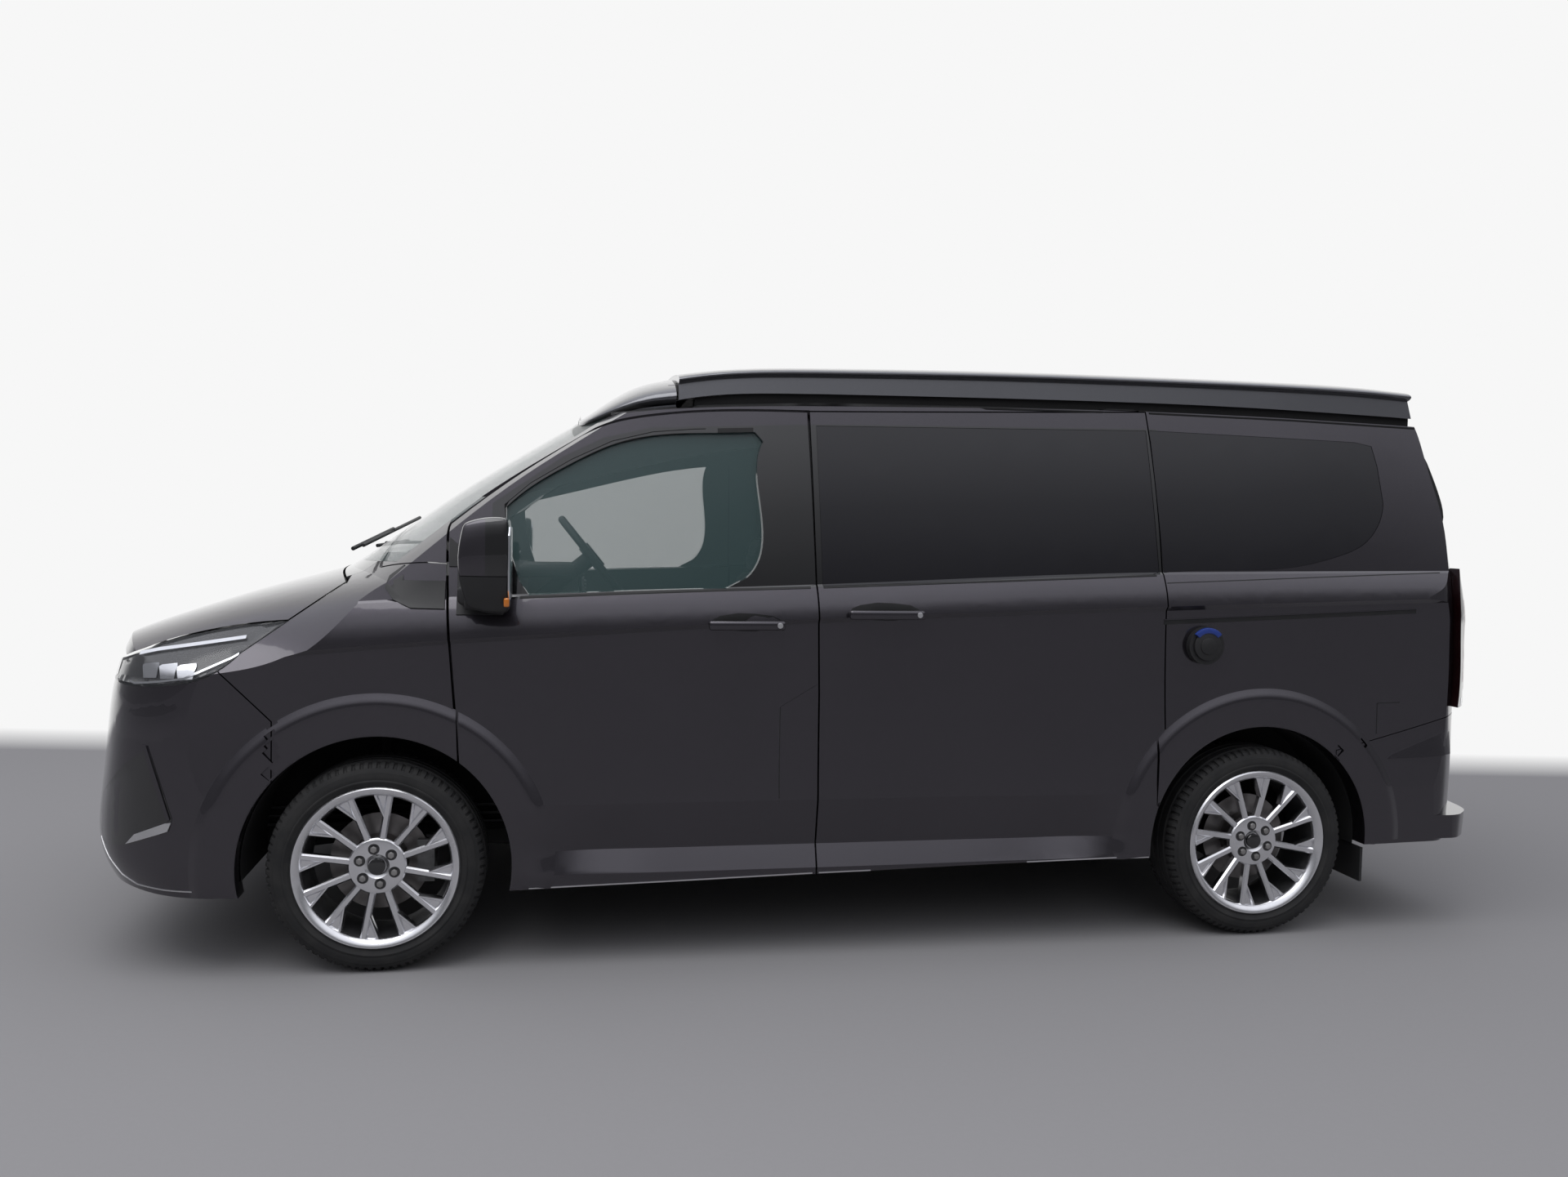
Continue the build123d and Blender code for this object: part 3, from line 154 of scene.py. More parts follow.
class Graph:
    """The nodes of one material."""

    def __init__(self, name: str) -> None:
        """Start a material of this name with an output and nothing else.

        Args:
            name: The material's name.
        """
        self.material = bpy.data.materials.new(name)
        self.material.use_nodes = True
        self.tree = self.material.node_tree
        self.tree.nodes.clear()
        self.end = self.tree.nodes.new("ShaderNodeOutputMaterial")

    def plug(self, target: bpy.types.NodeSocket, value: "Value | float | Sequence[float]") -> None:
        """Link a value to a socket, or set the socket to a plain number, colour or vector.

        Args:
            target: The socket.
            value: What it is given.
        """
        if isinstance(value, Value):
            self.tree.links.new(value.socket, target)
        elif target.type == "RGBA":
            target.default_value = (*value[:3], 1.0)
        else:
            target.default_value = value

    def node(
        self,
        kind: str,
        settings: dict[str, object] | None = None,
        values: "dict[str | int, Value | float | Sequence[float]] | None" = None,
        out: str | int = 0,
    ) -> Value:
        """Add a node.

        Args:
            kind: The node's type, without the ShaderNode in front.
            settings: Its settings, which are set first.
            values: What its sockets are given.
            out: The output that is wanted.

        Returns:
            That output.
        """
        made = self.tree.nodes.new(f"ShaderNode{kind}")
        for key, setting in (settings or {}).items():
            setattr(made, key, setting)
        for key, value in (values or {}).items():
            self.plug(made.inputs[key], value)
        return Value(self, made.outputs[out])

    def place(self) -> Value:
        """Position on the van."""
        return self.node("TexCoord", out="Object")

    def axes(self, vector: Value | None = None) -> tuple[Value, Value, Value]:
        """Split a vector, or the position, into its three parts.

        Args:
            vector: What is split, where that isn't the position.

        Returns:
            The x, y and z parts.
        """
        parts = self.node("SeparateXYZ", values={0: vector or self.place()})
        sockets = parts.socket.node.outputs
        return Value(self, sockets[0]), Value(self, sockets[1]), Value(self, sockets[2])

    def facing(self) -> tuple[Value, Value, Value]:
        """Direction that the surface points in."""
        return self.axes(self.node("NewGeometry", out="Normal"))

    def blend(self, share: Value, first: "Value | Colour", second: "Value | Colour") -> Value:
        """Mix two colours, all of the second where the share is 1."""
        values = {0: share, 6: first, 7: second}
        return self.node("Mix", {"data_type": "RGBA"}, values, out=2)

    def noise(self, scale: float, detail: float = 2.0, vector: Value | None = None) -> Value:
        """Soft random value from 0 to 1 that changes over the surface."""
        values = {"Vector": vector or self.place(), "Scale": scale, "Detail": detail}
        return self.node("TexNoise", values=values)

    def stretched(self, x: float, y: float, z: float) -> Value:
        """Position with each axis scaled."""
        settings = {"operation": "MULTIPLY"}
        return self.node("VectorMath", settings, {0: self.place(), 1: (x, y, z)})

    def cells(self, scale: float) -> Value:
        """Distance to the nearest of many scattered points."""
        return self.node("TexVoronoi", values={"Vector": self.place(), "Scale": scale})

    def bump(self, height: Value, strength: float, depth: float) -> Value:
        """Normal of a surface raised by a height."""
        values = {"Height": height, "Strength": strength, "Distance": depth}
        return self.node("Bump", values=values, out="Normal")

    def glow(self, strength: "Value | float") -> Value:
        """White surface that gives off light."""
        return self.node("Emission", values={"Color": (1.0, 1.0, 1.0), "Strength": strength})

    def close(self, share: Value, first: Value, second: Value) -> None:
        """Finish the material with a mix of two surfaces, all of the second where the share is 1."""
        join = self.node("MixShader", values={0: share, 1: first, 2: second})
        self.tree.links.new(join.socket, self.end.inputs["Surface"])

    def skin(self, **values: "Value | float | Sequence[float]") -> bpy.types.Material:
        """Finish the material with a Principled surface.

        Args:
            values: Its sockets, named in small letters with underscores for spaces.

        Returns:
            The material.
        """
        titles = {"ior": "IOR", "specular_level": "Specular IOR Level"}
        named = {titles.get(key, key.replace("_", " ").title()): value for key, value in values.items()}
        shader = self.node("BsdfPrincipled", values=named)
        self.tree.links.new(shader.socket, self.end.inputs["Surface"])
        return self.material


# ---------------------------------------------------------------- finishes
@dataclass(frozen=True)
class Paint:
    """Dark grey metallic lacquer, gloss black round the side windows and trim on inner faces."""

    name: str = "van_paint"
    colour: Colour = (0.020, 0.0168, 0.0215)
    flake_colour: Colour = (0.076, 0.070, 0.083)
    black: Colour = (0.0045, 0.0045, 0.005)
    trim: Colour = (0.085, 0.085, 0.083)
    belt_level: float = 1.270
    belt_slope: float = 0.046
    roofline: Line = ((0.7045, 2.3703), (0.50, 2.174), (0.238, 1.9576), (0.046, 1.8305), (0.0166, 1.829))
    window_front: float = -1.190
    window_rear: float = 1.163
    edge: float = 0.0012
    flake_scale: float = 900.0
    drift_scale: float = 3.0
    grain_scale: float = 420.0

    def windows(self, x: Value, z: Value) -> Value:
        """Where the gloss black band lies round the door windows.

        Args:
            x: Place along the van.
            z: Height.

        Returns:
            1 in the band and 0 elsewhere.
        """
        belt = z - x * self.belt_slope - self.belt_level
        lines = [x * slope + level for slope, level in self.roofline]
        roofline = lines[0]
        for line in lines[1:]:
            roofline = roofline.least(line)
        inside = belt.rise(0.0, self.edge) * (roofline - z).rise(0.0, self.edge)
        ahead = (x - self.window_front).rise(0.0, self.edge)
        behind = (self.window_rear - x).rise(0.0, self.edge)
        return inside * ahead * behind

    def make(self) -> bpy.types.Material:
        """Build the material.

        Returns:
            The material.
        """
        graph = Graph(self.name)
        x, y, z = graph.axes()
        _, across, up = graph.facing()
        side = y.maths("SIGN")
        inward = (across * side * -1.0).rise(0.25, 0.35)
        under = (up * -1.0).rise(0.35, 0.45) * (z - 1.55).rise(0.0, 0.1) * (0.76 - abs(y)).rise(0.0, 0.01)
        inside = inward.most(under)
        outside = 1.0 - inside
        black = self.windows(x, z) * abs(across).rise(0.15, 0.3)
        flake = graph.cells(self.flake_scale).rise(0.15, 0.75)
        drift = graph.noise(self.drift_scale, 1.0)
        paint = graph.blend(flake * 0.55 + drift * 0.12, self.flake_colour, self.colour)
        outer = graph.blend(black, paint, self.black)
        grain = graph.noise(self.grain_scale, 3.0)
        speck = graph.bump(grain * inside, 0.25, 0.0006)
        return graph.skin(
            base_color=graph.blend(inside, outer, self.trim),
            metallic=outside * (1.0 - black) * 0.90,
            roughness=inside * 0.35 + (1.0 - black) * 0.17 + 0.08,
            coat_weight=outside,
            coat_roughness=0.035,
            normal=speck,
        )


@dataclass(frozen=True)
class Plastic:
    """Moulded plastic with a fine grain."""

    name: str
    colour: Colour
    roughness: float = 0.5
    grain_scale: float = 700.0
    grain_depth: float = 0.0004
    coat: float = 0.0

    def make(self) -> bpy.types.Material:
        """Build the material.

        Returns:
            The material.
        """
        graph = Graph(self.name)
        grain = graph.noise(self.grain_scale, 3.0)
        wear = graph.noise(9.0, 4.0).rise(0.35, 0.75)
        pale = tuple(min(1.0, part * 1.35 + 0.004) for part in self.colour)
        return graph.skin(
            base_color=graph.blend(wear, self.colour, pale),
            roughness=grain * 0.12 + wear * 0.06 + (self.roughness - 0.08),
            coat_weight=self.coat,
            coat_roughness=0.05,
            normal=graph.bump(grain, 0.3, self.grain_depth),
        )


@dataclass(frozen=True)
class Metal:
    """Bare or machined metal with fine turning lines."""

    name: str
    colour: Colour
    roughness: float = 0.25
    metallic: float = 1.0
    lines: float = 900.0
    dirt: float = 0.25

    def make(self) -> bpy.types.Material:
        """Build the material.

        Returns:
            The material.
        """
        graph = Graph(self.name)
        lines = graph.noise(self.lines, 2.0, graph.stretched(1.0, 0.15, 1.0))
        dirt = graph.noise(22.0, 5.0).rise(0.45, 0.8) * self.dirt
        dark = tuple(part * 0.35 for part in self.colour)
        return graph.skin(
            base_color=graph.blend(dirt, self.colour, dark),
            metallic=self.metallic,
            roughness=lines * 0.12 + dirt * 0.3 + (self.roughness - 0.05),
            normal=graph.bump(lines, 0.12, 0.0002),
        )


@dataclass(frozen=True)
class Glass:
    """Thin tinted glass."""

    name: str
    colour: Colour
    alpha: float
    roughness: float = 0.02
    gloss: float = 0.5
    coat: float = 0.6

    def make(self) -> bpy.types.Material:
        """Build the material.

        Returns:
            The material.
        """
        graph = Graph(self.name)
        film = graph.noise(5.0, 3.0)
        wave = graph.noise(2.2, 1.0)
        return graph.skin(
            base_color=self.colour,
            roughness=film * 0.03 + self.roughness,
            alpha=self.alpha,
            specular_level=self.gloss,
            coat_weight=self.coat,
            coat_roughness=0.02,
            normal=graph.bump(wave, 0.05, 0.004),
        )


@dataclass(frozen=True)
class Rubber:
    """Black rubber, dusty where it is worn."""

    name: str
    colour: Colour = (0.012, 0.012, 0.0125)
    dust: Colour = (0.045, 0.043, 0.040)
    roughness: float = 0.72

    def make(self) -> bpy.types.Material:
        """Build the material.

        Returns:
            The material.
        """
        graph = Graph(self.name)
        dusty = graph.noise(14.0, 5.0).rise(0.42, 0.85)
        grain = graph.noise(600.0, 3.0)
        return graph.skin(
            base_color=graph.blend(dusty * 0.5, self.colour, self.dust),
            roughness=grain * 0.14 + self.roughness,
            normal=graph.bump(grain, 0.3, 0.0005),
        )


@dataclass(frozen=True)
class Cloth:
    """Woven seat fabric."""

    name: str
    colour: Colour
    thread: float = 900.0

    def make(self) -> bpy.types.Material:
        """Build the material.

        Returns:
            The material.
        """
        graph = Graph(self.name)
        x, y, z = graph.axes()
        warp = (y * self.thread).maths("SINE")
        weft = ((x + z) * self.thread).maths("SINE")
        weave = warp * weft * 0.5 + 0.5
        shade = graph.noise(30.0, 4.0)
        pale = tuple(part * 1.6 for part in self.colour)
        return graph.skin(
            base_color=graph.blend(weave * 0.5 + shade * 0.4, self.colour, pale),
            roughness=0.9,
            sheen_weight=0.25,
            normal=graph.bump(weave, 0.35, 0.0006),
        )


# ---------------------------------------------------------------- stage
@dataclass
class Studio:
    """Camera, floor, backdrop and lights."""

    eye: Point = (-0.938, -5.028, 1.486)
    yaw: float = math.radians(9.88)
    pitch: float = math.radians(-3.11)
    roll: float = math.radians(1.04)
    lens: float = 28.03
    shift: float = 0.00167
    floor_size: float = 60.0
    floor_colour: Colour = (0.27, 0.265, 0.27)
    sky: float = 1.0
    screen: float = 0.93
    screen_bend: Line = ((-34.0, 4.0), (-26.0, 13.0), (-10.0, 17.0), (10.0, 17.0), (26.0, 13.0), (34.0, 4.0))
    screen_foot: float = -0.5
    screen_height: float = 26.0
    screen_top: tuple[float, float] = (18.0, 25.0)
    screen_more: float = 3.0
    air_levels: tuple[tuple[float, float], ...] = (
        (0.0, 0.17), (0.20, 0.18), (0.34, 0.42), (0.50, 0.88), (0.72, 1.05), (1.0, 1.1),
    )
    air_tint: Colour = (0.965, 0.98, 1.045)
    fade: tuple[float, float] = (2.35, 3.1)
    middle: float = 3.5
    reach: tuple[float, float] = (15.0, 27.0)

    def camera(self) -> None:
        """Stand the camera at the left side of the van, a little ahead of its middle."""
        bpy.ops.object.camera_add(location=self.eye)
        camera = bpy.context.object
        ahead = Vector((
            math.sin(self.yaw) * math.cos(self.pitch),
            math.cos(self.yaw) * math.cos(self.pitch),
            math.sin(self.pitch),
        ))
        level = Vector((math.cos(self.yaw), -math.sin(self.yaw), 0.0))
        upward = level.cross(ahead)
        right = level * math.cos(self.roll) + upward * math.sin(self.roll)
        above = upward * math.cos(self.roll) - level * math.sin(self.roll)
        turn = Matrix((right, above, -ahead)).transposed()
        camera.rotation_euler = turn.to_euler()
        camera.data.lens = self.lens
        camera.data.sensor_width = 36.0
        camera.data.shift_x = self.shift
        bpy.context.scene.camera = camera

    def lamp(self, name: str, spot: Point, aim: Point, size: float, power: float) -> None:
        """Hang a square soft lamp that points at a place.

        Args:
            name: The lamp's name.
            spot: Where it hangs.
            aim: The place that it points at.
            size: Length of its side.
            power: Its power in watts.
        """
        bpy.ops.object.light_add(type="AREA", location=spot)
        lamp = bpy.context.object
        lamp.name = name
        lamp.data.size = size
        lamp.data.energy = power
        lamp.rotation_euler = (Vector(aim) - Vector(spot)).to_track_quat("-Z", "Y").to_euler()

    def ground(self) -> None:
        """Lay the pale floor."""
        bpy.ops.mesh.primitive_plane_add(size=self.floor_size)
        floor = bpy.context.object
        floor.name = "studio_floor"
        graph = Graph("studio_floor")
        speck = graph.noise(60.0, 4.0)
        tint = graph.blend(speck * 0.2, self.floor_colour, tuple(part * 0.8 for part in self.floor_colour))
        floor.data.materials.append(graph.skin(base_color=tint, roughness=0.9))
        x, y, _ = graph.axes()
        depth = x * math.sin(self.yaw) + y * math.cos(self.yaw)
        far = depth.rise(*self.fade) * (1.0 - abs(x - self.middle).rise(*self.reach))
        near = Value(graph, graph.end.inputs["Surface"].links[0].from_socket)
        graph.close(far * self.seen(graph), near, graph.glow(self.screen))

    @staticmethod
    def seen(graph: Graph) -> Value:
        """Whether the eye, a reflection or a ray through glass is looking.

        Args:
            graph: The material's nodes.

        Returns:
            1 where one of them is, else 0.
        """
        path = graph.node("LightPath").socket.node.outputs
        seen = Value(graph, path["Is Camera Ray"]) + Value(graph, path["Is Glossy Ray"])
        return (seen + Value(graph, path["Is Transmission Ray"])).least(1.0)

    def backdrop(self) -> None:
        """Stand a pale curved screen behind the van, bright to the eye and in reflections."""
        screen = Bench.start("studio_backdrop")
        Bench.thread([(x, y, self.screen_foot) for x, y in self.screen_bend])
        Bench.extrude((0.0, 0.0, self.screen_height))
        Bench.clear()
        graph = Graph("studio_backdrop")
        glow = graph.glow(self.seen(graph) * self.screen)
        x, _, z = graph.axes()
        start, stop = self.reach
        ends = abs(x - self.middle).rise(start + self.screen_more, stop)
        graph.close(ends.most(z.rise(*self.screen_top)), glow, graph.node("BsdfTransparent"))
        screen.data.materials.append(graph.material)

    def air(self) -> None:
        """Light the van from all round, with a pale backdrop behind it."""
        world = bpy.data.worlds.new("studio")
        bpy.context.scene.world = world
        world.use_nodes = True
        tree = world.node_tree
        air = tree.nodes["Background"]
        air.inputs["Strength"].default_value = self.sky
        place = tree.nodes.new("ShaderNodeTexCoord")
        parts = tree.nodes.new("ShaderNodeSeparateXYZ")
        ramp = tree.nodes.new("ShaderNodeValToRGB")
        tree.links.new(place.outputs["Generated"], parts.inputs[0])
        tree.links.new(parts.outputs["Z"], ramp.inputs["Fac"])
        tree.links.new(ramp.outputs["Color"], air.inputs["Color"])
        stops = ramp.color_ramp.elements
        while len(stops) < len(self.air_levels):
            stops.new(0.5)
        for stop, (height, level) in zip(stops, self.air_levels):
            stop.position = height
            stop.color = (*(level * part for part in self.air_tint), 1.0)

    def build(self) -> None:
        """Make all of it."""
        bpy.context.scene.view_settings.view_transform = "Standard"
        self.camera()
        self.ground()
        self.air()
        self.backdrop()
        self.lamp("key_lamp", (-3.0, -3.0, 8.5), (0.0, 0.0, 1.0), 7.0, 300.0)


# ---------------------------------------------------------------- finish of each piece
class Look(Enum):
    """Every finish, with the settings that make it."""

    PAINT = Paint()
    ROOF = Paint("roof_grey", (0.050, 0.050, 0.055), (0.150, 0.152, 0.165))
    GLOSS = Plastic("gloss_black", (0.006, 0.006, 0.0065), 0.14, 200.0, 0.00005, 1.0)
    SATIN = Plastic("satin_black", (0.014, 0.014, 0.0145), 0.5)
    UNDER = Plastic("underbody_coating", (0.018, 0.018, 0.018), 0.85, 160.0, 0.0015)
    CAST = Metal("cast_metal", (0.22, 0.22, 0.22), 0.6, 0.8, 120.0, 0.6)
    STEEL = Metal("brushed_steel", (0.42, 0.41, 0.40), 0.35, 1.0, 500.0, 0.5)
    ALLOY = Metal("machined_alloy", (0.78, 0.78, 0.80), 0.22, 1.0, 900.0, 0.12)
    # painted shade: darkened alloy for the inside of the rim barrel, where the spokes shade it
    WHEEL_DARK = Metal("wheel_dark", (0.050, 0.050, 0.052), 0.5, 0.6, 300.0, 0.5)
    LINER = Plastic("arch_felt", (0.0045, 0.0045, 0.0047), 0.9, 240.0, 0.0012)
    DISC = Metal("brake_disc", (0.20, 0.19, 0.185), 0.38, 1.0, 700.0, 0.5)
    SILVER = Metal("silver_trim", (0.62, 0.62, 0.63), 0.3, 0.9, 600.0, 0.1)
    ORANGE = Plastic("orange_lens", (0.55, 0.16, 0.01), 0.15, 200.0, 0.0001, 1.0)
    BLUE = Plastic("blue_lid", (0.010, 0.035, 0.22), 0.3, 500.0, 0.0002, 0.4)
    LAMP_BODY = Plastic("lamp_body", (0.020, 0.020, 0.021), 0.25, 300.0, 0.0002, 0.5)
    GLOW = Metal("lamp_reflector", (0.86, 0.87, 0.90), 0.10, 1.0, 500.0, 0.02)
    SWITCH = Plastic("cabin_detail", (0.11, 0.11, 0.115), 0.4, 500.0, 0.0002)
    SEAM = Rubber("seam_rubber", (0.008, 0.008, 0.0085), (0.02, 0.02, 0.02), 0.6)
    PLATE = Plastic("plate_white", (0.70, 0.70, 0.69), 0.35, 300.0, 0.0002, 0.3)
    RUBBER = Rubber("tyre_rubber")
    INTERIOR = Plastic("cabin_plastic", (0.045, 0.046, 0.047), 0.6)
    CLEAR = Glass("clear_glass", (0.085, 0.150, 0.150), 0.30)
    PRIVACY = Glass("privacy_glass", (0.0035, 0.0030, 0.0060), 0.985, 0.02, 0.6, 0.35)
    SCREEN = Glass("screen_glass", (0.16, 0.21, 0.21), 0.3)
    PINK = Plastic("pale_light_guide", (0.55, 0.42, 0.42), 0.2, 200.0, 0.0001, 1.0)
    RED = Plastic("red_lens", (0.009, 0.0010, 0.0013), 0.12, 200.0, 0.0001, 1.0)
    LENS = Glass("lamp_lens", (0.30, 0.31, 0.33), 0.10)
    CLOTH = Cloth("seat_fabric", (0.055, 0.056, 0.06))


Looks = dict[Look, bpy.types.Material]


def finishes() -> Looks:
    """Build every finish once."""
    return {look: look.value.make() for look in Look}


NODE_LOOKS = {
    Look.PAINT: "body_side bonnet front_bumper front_door rear_bumper roof_panel sliding_door tailgate wing",
    Look.ROOF: "roof_lid roof_fairing",
    Look.GLOSS: "scuttle_panel grille wing_trims mirror",
    Look.SATIN: "mud_flaps shore_power_inlet",
    Look.LINER: "roof_seal",
    Look.UNDER: "bulkhead floor_pan front_frame front_subframe rear_axle",
    Look.CAST: "engine knuckle",
    Look.STEEL: "exhaust",
    Look.ALLOY: "rim",
    Look.RUBBER: "tyre",
    Look.INTERIOR: "dashboard steering_wheel",
    Look.CLEAR: "front_door_glass",
    Look.PRIVACY: "side_windows tailgate_glass",
    Look.SCREEN: "windscreen",
    Look.RED: "tail_lamps",
    Look.LENS: "headlamps",
    Look.CLOTH: "front_seats rear_bench",
}


def dress_nodes(nodes: dict[str, bpy.types.Object], looks: Looks) -> None:
    """Give each CAD node the finish of the longest name that starts it.

    Args:
        nodes: The CAD nodes by name.
        looks: The finishes.
    """
    by_name = {word: look for look, words in NODE_LOOKS.items() for word in words.split()}
    for name, node in nodes.items():
        start = max((word for word in by_name if name.startswith(word)), key=len)
        node.data.materials.clear()
        node.data.materials.append(looks[by_name[start]])
        log.info("dressed %s as %s", name, by_name[start].name)


# ---------------------------------------------------------------- modelling bench
class Bench:
    """The editor's own operators, used on one piece at a time."""

    @staticmethod
    def clear() -> None:
        """Leave edit mode and let go of everything."""
        if bpy.context.object and bpy.context.object.mode != "OBJECT":
            bpy.ops.object.mode_set(mode="OBJECT")
        bpy.ops.object.select_all(action="DESELECT")

    @staticmethod
    def edit(piece: bpy.types.Object) -> None:
        """Open one piece in edit mode with nothing selected.

        Args:
            piece: The piece.
        """
        Bench.hold(piece)
        bpy.ops.object.mode_set(mode="EDIT")
        bpy.ops.mesh.select_mode(type="VERT")
        bpy.ops.mesh.select_all(action="DESELECT")

    @staticmethod
    def hold(piece: bpy.types.Object) -> None:
        """Select one piece and nothing else.

        Args:
            piece: The piece.
        """
        Bench.clear()
        piece.select_set(True)
        bpy.context.view_layer.objects.active = piece

    @staticmethod
    def start(name: str) -> bpy.types.Object:
        """Begin a piece with no faces at the origin and open it.

        Args:
            name: The piece's name.

        Returns:
            The piece.
        """
        Bench.clear()
        bpy.ops.mesh.primitive_plane_add(size=1.0)
        piece = bpy.context.object
        piece.name = name
        piece.data.name = name
        Bench.edit(piece)
        Bench.whole()
        bpy.ops.mesh.delete(type="VERT")
        return piece

    @staticmethod
    def thread(points: Sequence[Point]) -> None:
        """Draw a line of edges through the points and leave it selected.

        Args:
            points: The points in turn.
        """
        bpy.ops.mesh.select_all(action="DESELECT")
        bpy.ops.mesh.primitive_plane_add(size=0.0001, location=points[0])
        bpy.ops.mesh.merge(type="CENTER")
        for first, second in zip(points, points[1:]):
            step = tuple(Vector(second) - Vector(first))
            bpy.ops.mesh.extrude_vertices_move(TRANSFORM_OT_translate={"value": step})
        bpy.ops.mesh.select_linked()

    @staticmethod
    def extrude(step: Point) -> None:
        """Pull what is selected out by a step."""
        bpy.ops.mesh.extrude_region_move(TRANSFORM_OT_translate={"value": step})

    @staticmethod
    def ease(rounding: float, segments: int) -> None:
        """Round the edges of what is selected, if the radius isn't nothing."""
        if rounding:
            bpy.ops.mesh.bevel(offset=rounding, segments=segments, affect="EDGES", clamp_overlap=True)

    @staticmethod
    def plate(points: Sequence[Point], step: Point, rounding: float = 0.0, segments: int = 2) -> None:
        """Fill a closed outline and raise it by a step.

        Args:
            points: The corners of the outline in turn.
            step: How far, and which way, the face is raised.
            rounding: Radius of the raised face's edges.
            segments: How many strips the rounding has.
        """
        Bench.thread(points)
        bpy.ops.mesh.edge_face_add()
        Bench.extrude(step)
        Bench.ease(rounding, segments)

    @staticmethod
    def block(low: Point, high: Point, rounding: float = 0.0, segments: int = 2) -> None:
        """Add a box between two corners with its edges rounded.

        Args:
            low: The corner with the least of each axis.
            high: The corner opposite.
            rounding: Radius of its edges.
            segments: How many strips the rounding has.
        """
        bpy.ops.mesh.select_all(action="DESELECT")
        centre = tuple((Vector(low) + Vector(high)) / 2)
        size = tuple(Vector(high) - Vector(low))
        bpy.ops.mesh.primitive_cube_add(size=1.0, location=centre, scale=size)
        Bench.ease(rounding, segments)

    @staticmethod
    def tube(start: Point, stop: Point, radius: float, rounding: float = 0.0, sides: int = 24) -> None:
        """Add a round bar from one point to another with its ends rounded.

        Args:
            start: Middle of its one end.
            stop: Middle of its other end.
            radius: Its radius.
            rounding: Radius of its ends' edges.
            sides: How many sides it has.
        """
        bpy.ops.mesh.select_all(action="DESELECT")
        along = Vector(stop) - Vector(start)
        turn = along.to_track_quat("Z", "Y").to_euler()
        middle = tuple((Vector(start) + Vector(stop)) / 2)
        bpy.ops.mesh.primitive_cylinder_add(
            vertices=sides, radius=radius, depth=along.length, location=middle, rotation=turn
        )
        Bench.ease(rounding, 2)

    @staticmethod
    def spin(points: Sequence[Point], centre: Point, axis: Point, steps: int, angle: float = math.tau) -> None:
        """Turn a line of points round an axis into a surface.

        Args:
            points: The line.
            centre: A point on the axis.
            axis: Which way the axis runs.
            steps: How many strips the surface has.
            angle: How far it turns.
        """
        Bench.thread(points)
        bpy.ops.mesh.spin(steps=steps, angle=angle, center=centre, axis=axis)
        bpy.ops.mesh.select_linked()
        bpy.ops.mesh.remove_doubles(threshold=0.00002)

    @staticmethod
    def ring(count: int, centre: Point, axis: Point) -> None:
        """Repeat what is selected evenly round an axis."""
        share = (count - 1) / count
        bpy.ops.mesh.spin(steps=count - 1, dupli=True, angle=math.tau * share, center=centre, axis=axis)

    @staticmethod
    def pick(piece: bpy.types.Object, test: Callable[[Vector, Vector], bool]) -> None:
        """Select the faces whose centre and normal pass a test.

        Args:
            piece: The open piece.
            test: What a face's centre and normal have to pass.
        """
        bpy.ops.mesh.select_mode(type="FACE")
        bpy.ops.mesh.select_all(action="DESELECT")
        bpy.ops.object.mode_set(mode="OBJECT")
        for face in piece.data.polygons:
            face.select = test(face.center, face.normal)
        bpy.ops.object.mode_set(mode="EDIT")

    @staticmethod
    def squeeze(
        piece: bpy.types.Object, test: Callable[[Vector, Vector], bool], scale: Point, centre: Point
    ) -> None:
        """Scale the faces of the open piece that pass a test, about a place."""
        Bench.pick(piece, test)
        bpy.ops.transform.resize(value=scale, center_override=centre)

    @staticmethod
    def pick_points(piece: bpy.types.Object, test: Callable[[bpy.types.MeshVertex], bool]) -> None:
        """Open a piece and select the vertices that pass a test.

        Args:
            piece: The piece.
            test: What a vertex has to pass.
        """
        Bench.edit(piece)
        bpy.ops.object.mode_set(mode="OBJECT")
        for vertex in piece.data.vertices:
            vertex.select = test(vertex)
        bpy.ops.object.mode_set(mode="EDIT")

    @staticmethod
    def cut(point: Point, normal: Point) -> None:
        """Slice all of the piece with a plane and clear what lies ahead of it."""
        Bench.whole()
        bpy.ops.mesh.bisect(plane_co=point, plane_no=normal, clear_outer=True, use_fill=False)

    @staticmethod
    def finish(piece: bpy.types.Object, look: bpy.types.Material, angle: float = 35.0) -> bpy.types.Object:
        """Weld the piece, turn its faces outward, smooth it and give it its finish.

        Args:
            piece: The piece.
            look: Its finish.
            angle: The angle in degrees below which faces meet smoothly.

        Returns:
            The piece.
        """
        Bench.edit(piece)
        Bench.whole()
        bpy.ops.mesh.remove_doubles(threshold=0.00001)
        bpy.ops.mesh.normals_make_consistent(inside=False)
        return Bench.coat(piece, look, angle)

    @staticmethod
    def coat(piece: bpy.types.Object, look: bpy.types.Material, angle: float) -> bpy.types.Object:
        """Smooth the piece wherever its faces turn by less than an angle, and give it its finish.

        Args:
            piece: The piece.
            look: Its finish.
            angle: The angle in degrees below which faces meet smoothly.

        Returns:
            The piece.
        """
        Bench.hold(piece)
        bpy.ops.object.shade_smooth_by_angle(angle=math.radians(angle))
        piece.data.materials.clear()
        piece.data.materials.append(look)
        return piece

    @staticmethod
    def modify(piece: bpy.types.Object, kind: str, **settings: object) -> None:
        """Add one modifier and apply it.

        Args:
            piece: The piece.
            kind: Blender's name for the modifier.
            settings: The modifier's settings.
        """
        Bench.hold(piece)
        bpy.ops.object.modifier_add(type=kind)
        modifier = piece.modifiers[-1]
        for key, value in settings.items():
            setattr(modifier, key, value)
        bpy.ops.object.modifier_apply(modifier=modifier.name)

